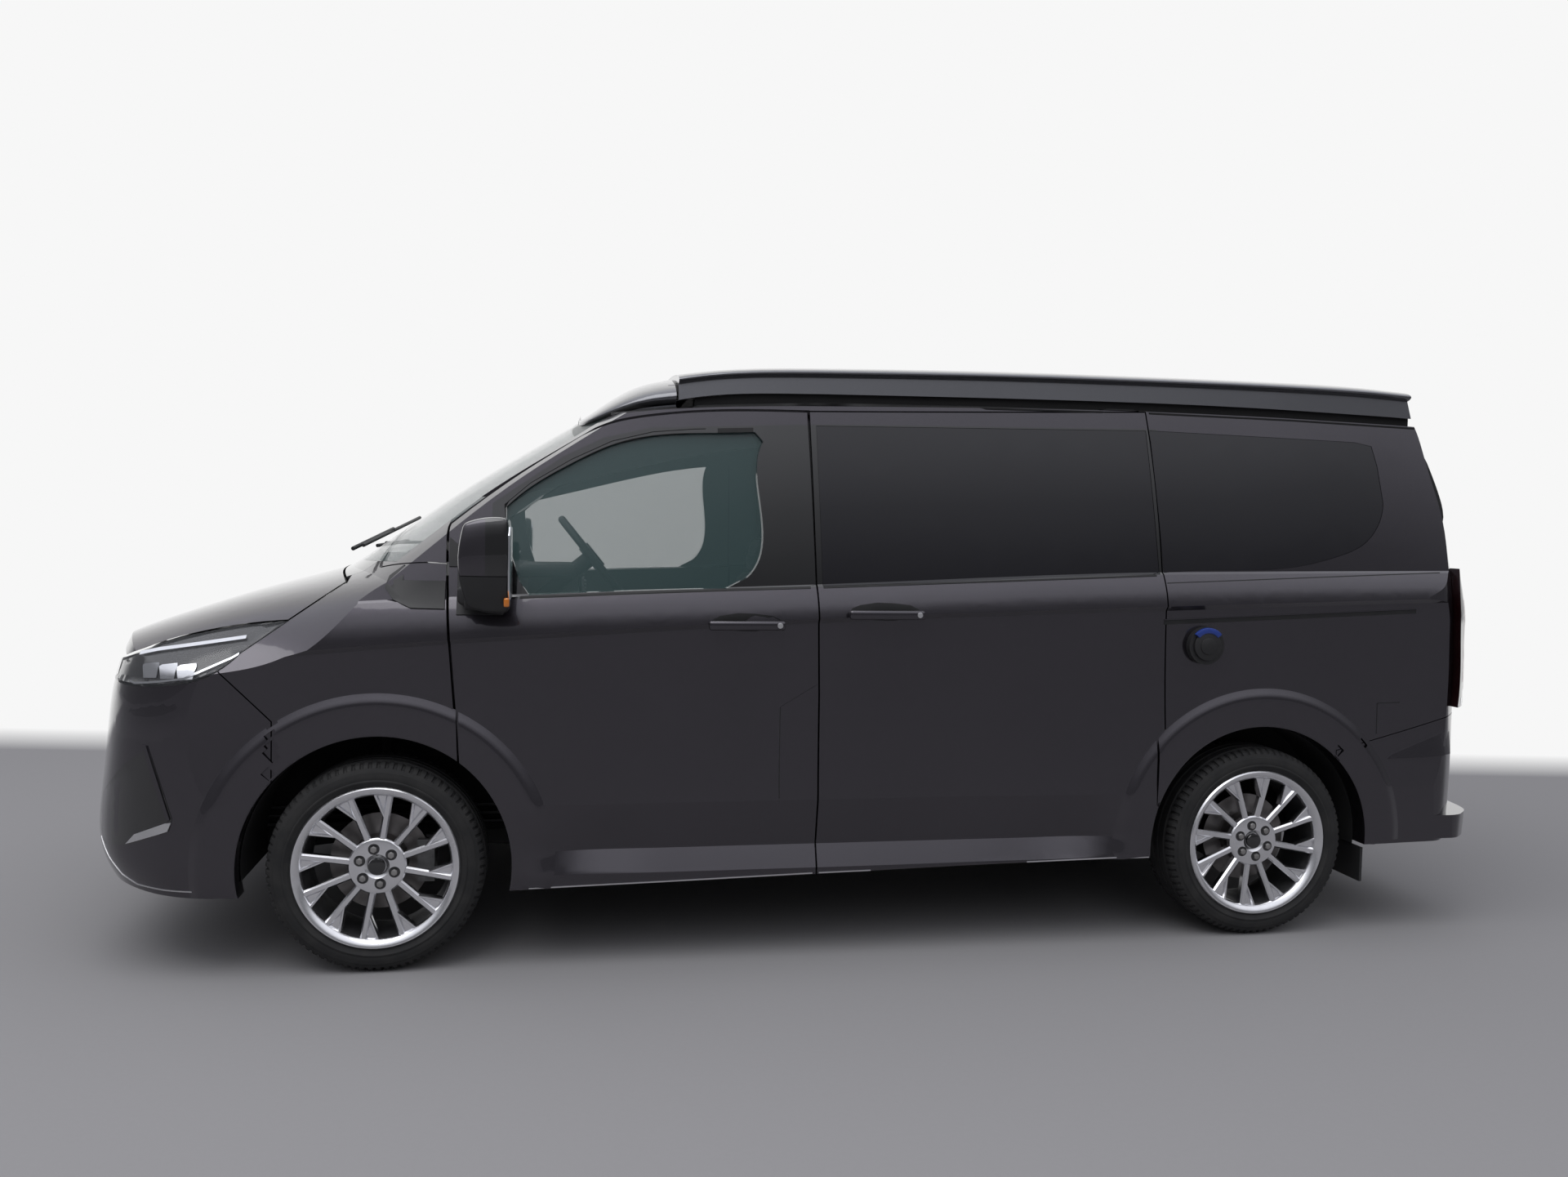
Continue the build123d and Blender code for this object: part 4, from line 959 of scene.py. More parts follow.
    @staticmethod
    def copy(
        piece: bpy.types.Object, name: str, scale: Point = (1.0, 1.0, 1.0), step: Point = ORIGIN
    ) -> bpy.types.Object:
        """Copy a piece with its own mesh, scaled about the origin and then moved.

        Args:
            piece: The piece to copy.
            name: The copy's name.
            scale: The scale along each axis, where -1 mirrors.
            step: How far the copy is moved after that.

        Returns:
            The copy.
        """
        Bench.hold(piece)
        bpy.ops.object.duplicate(linked=False)
        twin = bpy.context.object
        twin.name = name
        twin.data.name = name
        Bench.edit(twin)
        Bench.whole()
        bpy.ops.transform.resize(value=scale, center_override=ORIGIN)
        if scale[0] * scale[1] * scale[2] < 0.0:
            bpy.ops.mesh.flip_normals()
        bpy.ops.transform.translate(value=step)
        Bench.clear()
        return twin

    @staticmethod
    def fit(piece: bpy.types.Object, look: bpy.types.Material, body: str = "body", angle: float = 35.0) -> None:
        """Finish a piece and let it move with a body."""
        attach(Bench.finish(piece, look, angle), body)

    @staticmethod
    def pair(piece: bpy.types.Object, body: str = "body") -> bpy.types.Object:
        """Copy a left piece to the right and let each move with a body.

        Args:
            piece: The left piece.
            body: The body, where "door" means the door of the piece's own side.

        Returns:
            The right piece.
        """
        twin = Bench.copy(piece, piece.name.replace("_left", "_right"), MIRRORED)
        for one, hand in ((piece, "left"), (twin, "right")):
            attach(one, f"door_{hand}" if body == "door" else body)
        return twin

    @staticmethod
    def whole() -> None:
        """Select all of the open piece."""
        bpy.ops.mesh.select_all(action="SELECT")

    @staticmethod
    def remove(piece: bpy.types.Object) -> None:
        """Throw a master piece away once it has been copied."""
        Bench.hold(piece)
        bpy.ops.object.delete()


# ---------------------------------------------------------------- wheels
@dataclass
class Wheels:
    """Tyres and alloy wheels, modelled once and copied to the four corners."""

    looks: Looks
    stance: Stance
    spokes: int = 12
    spoke_turn: float = math.radians(20.0)
    hub_radius: float = 0.088
    nuts: int = 6
    nut_circle: float = 0.058
    nut_turn: float = math.radians(50.0)
    blocks: int = 80
    rib_half: float = 0.069
    tread_radius: float = 0.3275
    # faces lying less far out than this take the painted shade
    bright_from: float = 0.083

    def nut(self, start: float, stop: float, radius: float, rounding: float, sides: int = 24) -> None:
        """Add a round or many-sided bar at the first nut, between two depths, and repeat it for each nut.

        Args:
            start: How far out its inner end lies.
            stop: How far out its outer end lies.
            radius: Its radius.
            rounding: Radius of its ends' edges.
            sides: How many sides it has.
        """
        across, up = self.nut_circle * math.sin(self.nut_turn), self.nut_circle * math.cos(self.nut_turn)
        Bench.tube((across, -start, up), (across, -stop, up), radius, rounding, sides)
        bpy.ops.mesh.select_linked()
        Bench.ring(self.nuts, ORIGIN, ACROSS)

    def turned(self, name: str, section: Line, look: Look, steps: int, angle: float = 35.0) -> bpy.types.Object:
        """Spin a section of (depth, radius) points round the axle into a finished piece.

        Args:
            name: The piece's name.
            section: The section.
            look: Its finish.
            steps: How many strips it has.
            angle: The angle in degrees below which faces meet smoothly.

        Returns:
            The piece.
        """
        piece = Bench.start(name)
        Bench.spin([(0.0, -face, radius) for face, radius in section], ORIGIN, ACROSS, steps)
        return Bench.finish(piece, self.looks[look], angle)

    def dish(self, radius: float) -> float:
        """How far out the spokes' face lies at a radius."""
        return 0.080 + 0.020 * min(1.0, max(0.0, (radius - self.hub_radius) / 0.150))

    def tyre(self) -> bpy.types.Object:
        """Spin the tyre's section and cut its tread blocks.

        Returns:
            The tyre.
        """
        piece = Bench.start("tyre_master")
        half = (
            (0.0, 0.345), (0.012, 0.345), (0.014, 0.338), (0.024, 0.338), (0.026, 0.3448), (0.056, 0.3445),
            (0.058, 0.3375), (0.068, 0.3373), (0.07, 0.344), (0.088, 0.342), (0.0985, 0.3365), (0.1065, 0.327),
            (0.1105, 0.3165), (0.1117, 0.3145), (0.1132, 0.3145), (0.1155, 0.303), (0.116, 0.296),
            (0.1152, 0.2895), (0.117, 0.2875), (0.1172, 0.2835), (0.1148, 0.2805), (0.1118, 0.273),
            (0.1075, 0.2665), (0.1045, 0.2615), (0.096, 0.2535), (0.088, 0.25),
        )
        points = [(0.0, -face, radius) for face, radius in reversed(half)]
        points += [(0.0, face, radius) for face, radius in half[1:]]
        Bench.spin(points, ORIGIN, ACROSS, self.blocks * 2)

        def gap(centre: Vector, _: Vector) -> bool:
            """Every other cell of the outer ribs and shoulders.

            Args:
                centre: The cell's middle.
                _: Its normal, which makes no difference.

            Returns:
                Whether the cell is sunk.
            """
            turn = math.atan2(centre.x, centre.z) / math.tau * self.blocks * 2
            radius = math.hypot(centre.x, centre.z)
            return int(turn // 1) % 2 == 0 and abs(centre.y) > self.rib_half and radius > self.tread_radius

        Bench.pick(piece, gap)
        bpy.ops.mesh.inset(thickness=0.0035, depth=-0.0055, use_boundary=False)
        return Bench.finish(piece, self.looks[Look.RUBBER], 28.0)

    def barrel(self) -> bpy.types.Object:
        """Spin the rim that the tyre sits on, with its bright outer lip and a dark metal inside it that paints the
        shade between the spokes.

        Returns:
            The rim.
        """
        section = (
            (0.104, 0.2605), (0.1085, 0.2622), (0.1105, 0.26), (0.11, 0.256), (0.1065, 0.25), (0.102, 0.244),
            (0.096, 0.2395), (0.086, 0.237), (0.06, 0.234), (0.02, 0.228), (-0.05, 0.227), (-0.09, 0.238),
            (-0.1, 0.256), (-0.106, 0.26),
        )
        piece = self.turned("rim_barrel_master", section, Look.ALLOY, 96)
        # painted shade: the barrel's inner faces take a dark metal for the shade seen between the spokes
        piece.data.materials.append(self.looks[Look.WHEEL_DARK])
        for face in piece.data.polygons:
            face.material_index = int(-face.center.y < self.bright_from)
        Bench.modify(piece, "SOLIDIFY", thickness=0.004, offset=1.0)
        return piece

    def bar(self, start: float, stop: float, from_side: float, to_side: float, wide: float, narrow: float) -> None:
        """Raise one spoke bar with a ridge along its face.

        Args:
            start: Radius of its inner end.
            stop: Radius of its outer end.
            from_side: How far its inner end lies to the clockwise side of the spoke's line.
            to_side: The same at its outer end.
            wide: Width of its inner end.
            narrow: Width of its outer end.
        """
        depth = 0.026
        corners = []
        for radius, side, width in ((start, from_side, wide), (stop, to_side, narrow)):
            corners.append([(side + width * share, -(self.dish(radius) - depth), radius) for share in (-0.5, 0.5)])
        outline = [corners[0][0], corners[1][0], corners[1][1], corners[0][1]]
        Bench.plate(outline, (0.0, -(depth - 0.006), 0.0))
        bpy.ops.mesh.inset(thickness=narrow * 0.22, depth=0.0, use_even_offset=True)
        bpy.ops.transform.translate(value=(0.0, -0.006, 0.0))

    def spokes_piece(self) -> bpy.types.Object:
        """Model one forked spoke and repeat it round the hub.

        Returns:
            The spokes.
        """
        piece = Bench.start("rim_spokes_master")
        self.bar(self.hub_radius - 0.012, 0.2440, 0.0, 0.0, 0.024, 0.0225)
        self.bar(0.160, 0.2405, -0.003, -0.050, 0.012, 0.0160)
        pocket = [(-0.006, -0.0780, 0.172), (-0.0445, -0.0860, 0.2400), (-0.006, -0.0860, 0.2425)]
        Bench.plate(pocket, (0.0, -0.006, 0.0), 0.0015)
        Bench.whole()
        bpy.ops.transform.rotate(
            value=self.spoke_turn, orient_axis="Y", orient_type="GLOBAL", center_override=ORIGIN
        )
        Bench.ring(self.spokes, ORIGIN, ACROSS)
        return Bench.finish(piece, self.looks[Look.ALLOY], 30.0)

    def hub(self) -> bpy.types.Object:
        """Spin the hub disc.

        Returns:
            The hub.
        """
        section = (
            (0.03, 0.0), (0.03, 0.06), (0.045, 0.086), (0.07, 0.094), (0.079, 0.0925), (0.0835, 0.088),
            (0.085, 0.08), (0.0855, 0.04), (0.0815, 0.0345), (0.08, 0.03), (0.076, 0.0285), (0.076, 0.0),
        )
        return self.turned("rim_hub_master", section, Look.ALLOY, 72, 30.0)

    def dark_parts(self) -> bpy.types.Object:
        """Model the blank cap, and gloss black discs round the nuts that paint the shade of the hollows they stand
        in.

        Returns:
            The cap with the painted nut shade.
        """
        piece = Bench.start("rim_cap_master")
        cap = ((0.07, 0.027), (0.087, 0.027), (0.0892, 0.0255), (0.0905, 0.0215), (0.0912, 0.0))
        Bench.spin([(0.0, -out, radius) for out, radius in cap], ORIGIN, ACROSS, 48)
        # painted shade: flat black discs round each nut stand in for the dark hollows that the nuts sit in
        self.nut(0.08, 0.0862, 0.0185, 0.0012)
        return Bench.finish(piece, self.looks[Look.GLOSS], 30.0)

    def nuts_piece(self) -> bpy.types.Object:
        """Model the six-sided nuts.

        Returns:
            The nuts.
        """
        piece = Bench.start("rim_nuts_master")
        self.nut(0.0855, 0.0945, 0.0112, 0.0022, 6)
        return Bench.finish(piece, self.looks[Look.STEEL], 30.0)

    def disc(self) -> bpy.types.Object:
        """Spin the brake disc with its bell.

        Returns:
            The disc.
        """
        section = (
            (0.03, 0.055), (0.03, 0.085), (0.008, 0.092), (0.008, 0.16), (-0.018, 0.16), (-0.018, 0.092),
            (-0.02, 0.06),
        )
        return self.turned("rim_disc_master", section, Look.DISC, 72, 30.0)

    def build(self) -> None:
        """Copy the finished wheel to each corner."""
        tyre = self.tyre()
        makers = (self.barrel, self.spokes_piece, self.hub, self.dark_parts, self.nuts_piece, self.disc)
        masters = [make() for make in makers]
        for axle, x in (("front", self.stance.front), ("rear", self.stance.rear)):
            for hand, side in (("left", 1.0), ("right", -1.0)):
                corner = f"{axle}_{hand}"
                step = (x, -side * self.stance.track, self.stance.height)
                shown = Bench.copy(tyre, f"tyre_tread_{corner}", (side, side, 1.0), step)
                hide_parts(f"tyre_{corner}")
                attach(shown, f"wheel_{corner}")
                for master in masters:
                    part = master.name.replace("rim_", "").replace("_master", "")
                    copy = Bench.copy(master, f"wheel_{part}_{corner}", (side, side, 1.0), step)
                    if part == "spokes":
                        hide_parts(f"rim_{corner}")
                    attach(copy, f"wheel_{corner}")
                log.info("wheel %s", corner)
        for master in (tyre, *masters):
            Bench.remove(master)


# ---------------------------------------------------------------- outer surface
@dataclass
class Skin:
    """The outer surface of the painted nodes, found by casting rays at it."""

    nodes: dict[str, bpy.types.Object]
    beside: float = 1.6
    beyond: float = 4.0
    flank: float = 0.4
    step: float = 0.009

    def owners(self, names: Iterable[str]) -> list[str]:
        """Full names of the left or only nodes that go by these names."""
        return [name if name in self.nodes else f"{name}_left" for name in names]

    def hits(self, names: Iterable[str], start: Vector, way: Vector) -> list[Vector]:
        """Where a ray from a place first meets each of these nodes."""
        casts = (self.nodes[name].ray_cast(start, way) for name in names)
        return [spot for hit, spot, _, _ in casts if hit]

    def reach(self, names: Iterable[str], x: float, z: float, side: float) -> float | None:
        """Distance from the middle plane to the outermost of these nodes at a place on one side.

        Args:
            names: Full names of the nodes.
            x: Place along the van.
            z: Height.
            side: 1 on the right and -1 on the left.

        Returns:
            The distance, or None where the ray meets none of them.
        """
        spots = self.hits(names, Vector((x, side * self.beside, z)), Vector((0.0, -side, 0.0)))
        return max((spot.y * side for spot in spots if spot.y * side > self.flank), default=None)

    def end(self, names: Iterable[str], y: float, z: float, way: float) -> float | None:
        """Place along the length where a ray from the nose (way 1) or the tail (way -1) meets these nodes.

        Args:
            names: Full names of the nodes.
            y: Place across the van.
            z: Height.
            way: 1 from the nose and -1 from the tail.

        Returns:
            The place, or None where the ray meets none of them.
        """
        spots = self.hits(names, Vector((-way * self.beyond, y, z)), Vector((way, 0.0, 0.0)))
        return min((spot.x for spot in spots), key=lambda place: place * way, default=None)

    def drape(
        self, piece: bpy.types.Object, names: Sequence[str], rise: Callable[[Vector], float], passes: int = 0
    ) -> None:
        """Lay a flat sheet on the left side of the nodes and drop what misses them.

        Args:
            piece: The sheet.
            names: The nodes that it lies on, without their side.
            rise: Its height over them as a function of place.
            passes: How many times it is lifted out of narrow gaps.
        """
        Bench.clear()
        owners = self.owners(names)
        found = [self.reach(owners, vertex.co.x, vertex.co.z, -1.0) for vertex in piece.data.vertices]
        missed = {index for index, reach in enumerate(found) if reach is None}
        joined: dict[int, list[int]] = {}
        for edge in piece.data.edges:
            for first, second in (edge.vertices, reversed(edge.vertices)):
                joined.setdefault(first, []).append(second)
        for _ in range(passes):
            sunk = {}
            for index, reach in enumerate(found):
                near = [found[other] for other in joined.get(index, []) if other not in missed]
                if index not in missed and near and reach < max(near) - self.step:
                    sunk[index] = max(near)
            for index, reach in sunk.items():
                found[index] = reach
        for vertex in piece.data.vertices:
            if vertex.index not in missed:
                vertex.co.y = -found[vertex.index] - rise(vertex.co)
        Bench.pick_points(piece, lambda vertex: vertex.index in missed)
        bpy.ops.mesh.delete(type="VERT")

    @staticmethod
    def face_out(piece: bpy.types.Object) -> None:
        """Turn an open sheet's faces away from the middle plane.

        Args:
            piece: The sheet.
        """
        Bench.clear()
        lean = sum(face.normal.y * face.area * math.copysign(1.0, face.center.y) for face in piece.data.polygons)
        if lean < 0.0:
            Bench.edit(piece)
            Bench.whole()
            bpy.ops.mesh.flip_normals()
            Bench.clear()


# ---------------------------------------------------------------- wheel arches
@dataclass
class Flare:
    """One panel's share of the swelling round a wheel arch."""

    name: str
    axle: str
    body: str
    nodes: tuple[str, ...]
    low: float
    high: float
    lean: float = 0.0


@dataclass
class Arches:
    """Soft flares round the four arches and the dark liners behind them."""

    looks: Looks
    skin: Skin
    stance: Stance
    opening: float = 0.4305
    step_degrees: float = 2.0
    lip: float = 0.030
    edge: float = 0.0008
    away: float = 1.2
    spring: float = -10.0
    passes: int = 5
    profile: tuple[tuple[float, float], ...] = (
        (0.4305, 0.0012), (0.4335, 0.0032), (0.4380, 0.0038), (0.4440, 0.0042), (0.4700, 0.0068), (0.4950, 0.0092),
        (0.5150, 0.0108), (0.5280, 0.0116), (0.5370, 0.0114), (0.5440, 0.0100), (0.5530, 0.0066), (0.5630, 0.0024),
        (0.5720, -0.0008),
    )
    panels: tuple[Flare, ...] = (
        Flare("wing", "front", "body", ("wing", "front_bumper", "body_side"), -2.2, -1.2975, 0.030),
        Flare("door", "front", "door", ("front_door",), -1.2895, -0.9, 0.030),
        Flare("slide", "rear", "body", ("sliding_door", "body_side"), 0.9, 1.1365),
        Flare("quarter", "rear", "body", ("body_side", "rear_bumper"), 1.1445, 2.3),
    )

    def radius(self, spot: Vector, panel: Flare) -> float:
        """How far a place lies from the panel's axle."""
        return math.hypot(spot.x - getattr(self.stance, panel.axle), spot.z - self.stance.height)

    def rise(self, panel: Flare) -> Callable[[Vector], float]:
        """The flare's height over the panel as a function of place.

        Args:
            panel: The panel.

        Returns:
            The function.
        """

        def height(spot: Vector) -> float:
            """Interpolate the profile at the place's radius.

            Args:
                spot: The place.

            Returns:
                The height.
            """
            radius = self.radius(spot, panel)
            for (near, low), (far, high) in zip(self.profile, self.profile[1:]):
                if radius <= far:
                    share = max(0.0, (radius - near) / (far - near))
                    return low + (high - low) * share
            return self.profile[-1][1]

        return height

    def flare(self, panel: Flare) -> None:
        """Make one panel's sheet on the left and copy it to the right.

        Args:
            panel: The panel.
        """
        piece = Bench.start(f"flare_{panel.name}_left")
        section = [(radius, self.away) for radius, _ in self.profile]
        self.sweep(panel.axle, section, self.spring, round((180.0 - 2 * self.spring) / self.step_degrees))
        Bench.cut((panel.low, 0.0, 0.9), (-1.0, 0.0, -panel.lean))
        Bench.cut((panel.high, 0.0, 0.9), (1.0, 0.0, panel.lean))
        self.skin.drape(piece, panel.nodes, self.rise(panel), self.passes)
        edge = self.opening + self.edge
        Bench.pick_points(piece, lambda vertex: self.radius(vertex.co, panel) < edge)
        Bench.extrude((0.0, self.lip, 0.0))
        Bench.clear()
        Skin.face_out(piece)
        Bench.coat(piece, self.looks[Look.PAINT], 50.0)
        Bench.pair(piece, panel.body)

    def sweep(self, axle: str, section: Line, start: float, steps: int) -> None:
        """Turn a section over an axle.

        Args:
            axle: The axle, front or rear.
            section: Points as (radius, distance to the left of the middle plane).
            start: Angle below the level, in degrees and less than nothing, where it starts and ends.
            steps: How many strips it has.
        """
        x, height, turn = getattr(self.stance, axle), self.stance.height, math.radians(start)
        points = [
            (x + radius * math.cos(turn), -across, height + radius * math.sin(turn))
            for radius, across in section
        ]
        Bench.spin(points, (x, -section[0][1], height), ACROSS, steps, math.pi - 2 * turn)

    def liner(self, name: str, axle: str, section: Line, start: float) -> None:
        """Spin a wheelhouse's shell on the left and copy it to the right.

        Args:
            name: The piece's name without its side.
            axle: The axle, front or rear.
            section: Points as (radius, distance to the left of the middle plane).
            start: Angle in degrees from the level to where it starts, less than nothing below it.
        """
        piece = Bench.start(f"{name}_left")
        self.sweep(axle, section, start, 48)
        Bench.modify(piece, "SOLIDIFY", thickness=0.002, offset=0.0)
        Bench.finish(piece, self.looks[Look.LINER], 40.0)
        Bench.pair(piece)

    def build(self) -> None:
        """Make every sheet and liner."""
        for panel in self.panels:
            self.flare(panel)
            log.info("flare %s", panel.name)
        front = ((0.12, 0.558), (0.3, 0.556), (0.424, 0.556), (0.4275, 0.56), (0.4275, 0.915), (0.4265, 0.917))
        rear = ((0.13, 0.6945), (0.3, 0.6945), (0.424, 0.6945), (0.4275, 0.698), (0.4275, 0.915))
        self.liner("arch_liner", "front", front, -6.0)
        self.liner("rear_arch_liner", "rear", rear, -4.0)


# ---------------------------------------------------------------- trim laid on the skin
def dense(line: Line, cell: float) -> list[tuple[float, float]]:
    """Divide a line closely enough to follow the skin.

    Args:
        line: The line's corners.
        cell: The wanted distance between its points.

    Returns:
        The points.
    """
    points = []
    for (x, z), (next_x, next_z) in zip(line, line[1:]):
        count = max(1, round(math.hypot(next_x - x, next_z - z) / cell))
        points += [(x + (next_x - x) * n / count, z + (next_z - z) * n / count) for n in range(count)]
    return [*points, line[-1]]


@dataclass
class Trim:
    """Thin pieces that follow the body's skin, made on the left and copied to the right."""

    looks: Looks
    skin: Skin
    away: float = 1.2
    cell: float = 0.02
    finer: float = 1.4

    def ribbon(
        self, name: str, line: Line, across: Point, lift: float, look: Look,
        names: Sequence[str], body: str = "body", thickness: float = 0.003,
    ) -> None:
        """Lay a strip along a line.

        Args:
            name: The piece's name without its side.
            line: Corners of the strip's one edge, as (x, z).
            across: Step to its other edge.
            lift: Height of its face over the skin.
            look: Its finish.
            names: The nodes it lies on.
            body: The body it moves with, where "door" means the door of its own side.
            thickness: How thick it is.
        """
        piece = Bench.start(f"{name}_left")
        Bench.thread([(x, -self.away, z) for x, z in dense(line, self.cell)])
        Bench.extrude(across)
        self.skin.drape(piece, names, lambda _: lift)
        self.close(piece, look, body, thickness)

    def panel(
        self, name: str, outline: Line, lift: float, look: Look, names: Sequence[str],
        body: str = "body", thickness: float = 0.003, rise: Callable[[Vector], float] | None = None,
    ) -> None:
        """Lay a sheet cut to a convex outline.

        Args:
            name: The piece's name without its side.
            outline: Its corners in turn, as (x, z).
            lift: Height of its face over the skin.
            look: Its finish.
            names: The nodes it lies on.
            body: The body it moves with, where "door" means the door of its own side.
            thickness: How thick it is.
            rise: Extra height over the skin as a function of place.
        """
        piece = Bench.start(f"{name}_left")
        low_x, high_x = min(x for x, _ in outline), max(x for x, _ in outline)
        low_z, high_z = min(z for _, z in outline), max(z for _, z in outline)
        size = (high_x - low_x, high_z - low_z)
        cells = [max(2, round(length / self.cell * self.finer)) for length in size]
        bpy.ops.mesh.primitive_grid_add(
            x_subdivisions=cells[0], y_subdivisions=cells[1], size=1.0, rotation=(math.pi / 2, 0.0, 0.0),
            location=((low_x + high_x) / 2, -self.away, (low_z + high_z) / 2), scale=(size[0], size[1], 1.0),
        )
        ring = [*outline, outline[0]]
        area = sum(x0 * z1 - x1 * z0 for (x0, z0), (x1, z1) in zip(ring, ring[1:]))
        turn = math.copysign(1.0, area)
        for (x0, z0), (x1, z1) in zip(ring, ring[1:]):
            Bench.cut((x0, 0.0, z0), (turn * (z1 - z0), 0.0, turn * (x0 - x1)))
        extra = rise or (lambda _: 0.0)
        self.skin.drape(piece, names, lambda spot: lift + extra(spot))
        self.close(piece, look, body, thickness)

    def close(self, piece: bpy.types.Object, look: Look, body: str, thickness: float) -> None:
        """Thicken a laid sheet inward, give it its finish and copy it to the right.

        Args:
            piece: The sheet.
            look: Its finish.
            body: The body it moves with, where "door" means the door of its own side.
            thickness: How thick it is.
        """
        Skin.face_out(piece)
        Bench.modify(piece, "SOLIDIFY", thickness=thickness, offset=-1.0)
        Bench.coat(piece, self.looks[look], 40.0)
        Bench.pair(piece, body)


@dataclass
class SideTrim:
    """Seams, strips and vents of the flanks, with a dark strip that paints the shade in the door rail's groove."""

    trim: Trim

    def build(self) -> None:
        """Lay every strip and patch of the flanks."""
        side = ("body_side", "sliding_door", "rear_bumper")
        door = ("front_door", "front_door_glass")
        window = ((-1.14, 1.418), (-1.15, 1.514), (-1.066, 1.588), (-0.933, 1.67), (-0.799, 1.735),
                  (-0.662, 1.77), (-0.524, 1.783), (-0.32, 1.793))
        waist = ((-1.096, 1.222), (-1.061, 1.224), (-0.77, 1.239), (-0.445, 1.252), (-0.11, 1.264))
        chin = ((-2.44, 0.418), (-2.395, 0.36), (-2.345, 0.315), (-2.29, 0.292), (-2.2, 0.285), (-1.985, 0.283))
        nose = ("front_bumper", "body_side", "wing")
        strips = (
            # painted shade: a dark rubber strip laid flat on the skin stands in for the shade inside the sliding
            # door's rail groove
            ("rail_groove", ((1.151, 1.146), (1.6, 1.1655), (2.163, 1.19)), (0.0, 0.0, 0.016), 0.0012, Look.SEAM,
             side),
            ("rail_edge", ((1.151, 1.162), (1.6, 1.1815), (2.17, 1.2055)), (0.0, 0.0, 0.003), 0.003, Look.PAINT,
             side),
            ("belt_seam", ((1.163, 1.2925), (1.7, 1.316), (2.275, 1.34)), (0.0, 0.0, 0.0032), 0.0006, Look.SEAM,
             side, "body", 0.001),
            ("flap_seam", ((-0.229, 0.54), (-0.23, 0.62), (-0.229, 0.863), (-0.104, 0.938)), (-0.003, 0.0, -0.0025),
             0.0006, Look.SEAM, ("front_door", "body_side"), "door", 0.001),
            ("sill_strip", ((-1.06, 0.266), (-0.6, 0.276), (-0.11, 0.2885)), (0.0, 0.0, 0.004), 0.003, Look.SILVER,
             ("front_door",), "door", 0.004),
            ("sill_strip_rear", ((-0.088, 0.289), (0.5, 0.2975), (1.12, 0.308)), (0.0, 0.0, 0.004), 0.003,
             Look.SILVER, ("sliding_door", "body_side"), "body", 0.004),
            ("window_seal", window, (0.0, 0.0, 0.015), 0.0018, Look.SEAM, door, "door", 0.002),
            ("waist_seal", waist, (0.0, 0.0, 0.007), 0.0022, Look.SEAM, door, "door", 0.003),
            ("slide_waist_seal", ((-0.085, 1.265), (0.5, 1.2905), (1.128, 1.318)), (0.0, 0.0, 0.005), 0.0022,
             Look.SEAM, ("sliding_door", "side_windows"), "body", 0.003),
        )
        for strip in strips:
            self.trim.ribbon(*strip)
        vent = ((-2.44, 0.56), (-2.33, 0.68), (-2.25, 0.732), (-2.236, 0.728), (-2.2, 0.63), (-2.162, 0.52),
                (-2.172, 0.478), (-2.3, 0.43), (-2.41, 0.408), (-2.455, 0.47))
        lip = ((-2.32, 0.428), (-2.176, 0.48), (-2.164, 0.508), (-2.185, 0.505), (-2.29, 0.462))
        blade = ((-2.262, 0.745), (-2.244, 0.742), (-2.206, 0.63), (-2.166, 0.52), (-2.176, 0.512), (-2.222, 0.63))
        self.trim.panel("side_vent", vent, 0.0016, Look.GLOSS, nose)
        self.trim.panel("vent_strip", lip, 0.005, Look.SILVER, nose, thickness=0.005)
        self.trim.panel("vent_blade", blade, 0.006, Look.PAINT, nose, thickness=0.006)
        self.trim.ribbon("chin_line", chin, (0.0, 0.0, 0.0035), 0.0028, Look.SILVER, nose)


@dataclass
class Handles:
    """Door handles: a bar on two feet over a dark sheet that paints the shade of the hollow behind it, with a lock.
    """

    looks: Looks
    skin: Skin
    trim: Trim

    def handle(self, name: str, node: str, x: float, z: float, length: float, body: str) -> None:
        """Make one handle on the left and copy it to the right.

        Args:
            name: The piece's name without its side.
            node: The node it is fixed to.
            x: Place of its front end.
            z: Its height.
            length: Its length.
            body: The body it moves with.
        """
        owners = self.skin.owners((node,))
        # painted shade: a dark rubber sheet laid flat on the door stands in for the shade of the hollow behind the
        # handle
        recess_shade = [
            (x + length * 0.5 + length * 0.47 * math.cos(turn), z + 0.008 + 0.030 * math.sin(turn))
            for turn in (math.tau * step / 20 for step in range(20))
        ]
        self.trim.panel(f"{name}_recess", recess_shade, 0.0008, Look.SEAM, (node,), body, 0.001)
        piece = Bench.start(f"{name}_left")
        reach = -(self.skin.reach(owners, x + length / 2, z, -1.0) or 1.0)
        Bench.block((x, reach - 0.036, z - 0.017), (x + length, reach - 0.016, z + 0.015), 0.0135, 4)
        for foot in (x + 0.004, x + length - 0.052):
            Bench.block((foot, reach - 0.024, z - 0.014), (foot + 0.048, reach + 0.006, z + 0.012), 0.006, 2)
        Bench.finish(piece, self.looks[Look.PAINT], 40.0)
        lock = Bench.start(f"{name}_lock_left")
        key = x + length - 0.020
        Bench.tube((key, reach - 0.0345, z), (key, reach - 0.0385, z), 0.0095, 0.0015, 32)
        Bench.block((key - 0.0015, reach - 0.0392, z - 0.005), (key + 0.0015, reach - 0.038, z + 0.005))
        Bench.finish(lock, self.looks[Look.SILVER])
        for part in (piece, lock):
            Bench.pair(part, body)

    def build(self) -> None:
        """Make the handles of the cab and sliding doors."""
        self.handle("cab_handle", "front_door", -0.481, 1.141, 0.258, "door")
        self.handle("slide_handle", "sliding_door", -0.006, 1.179, 0.263, "body")


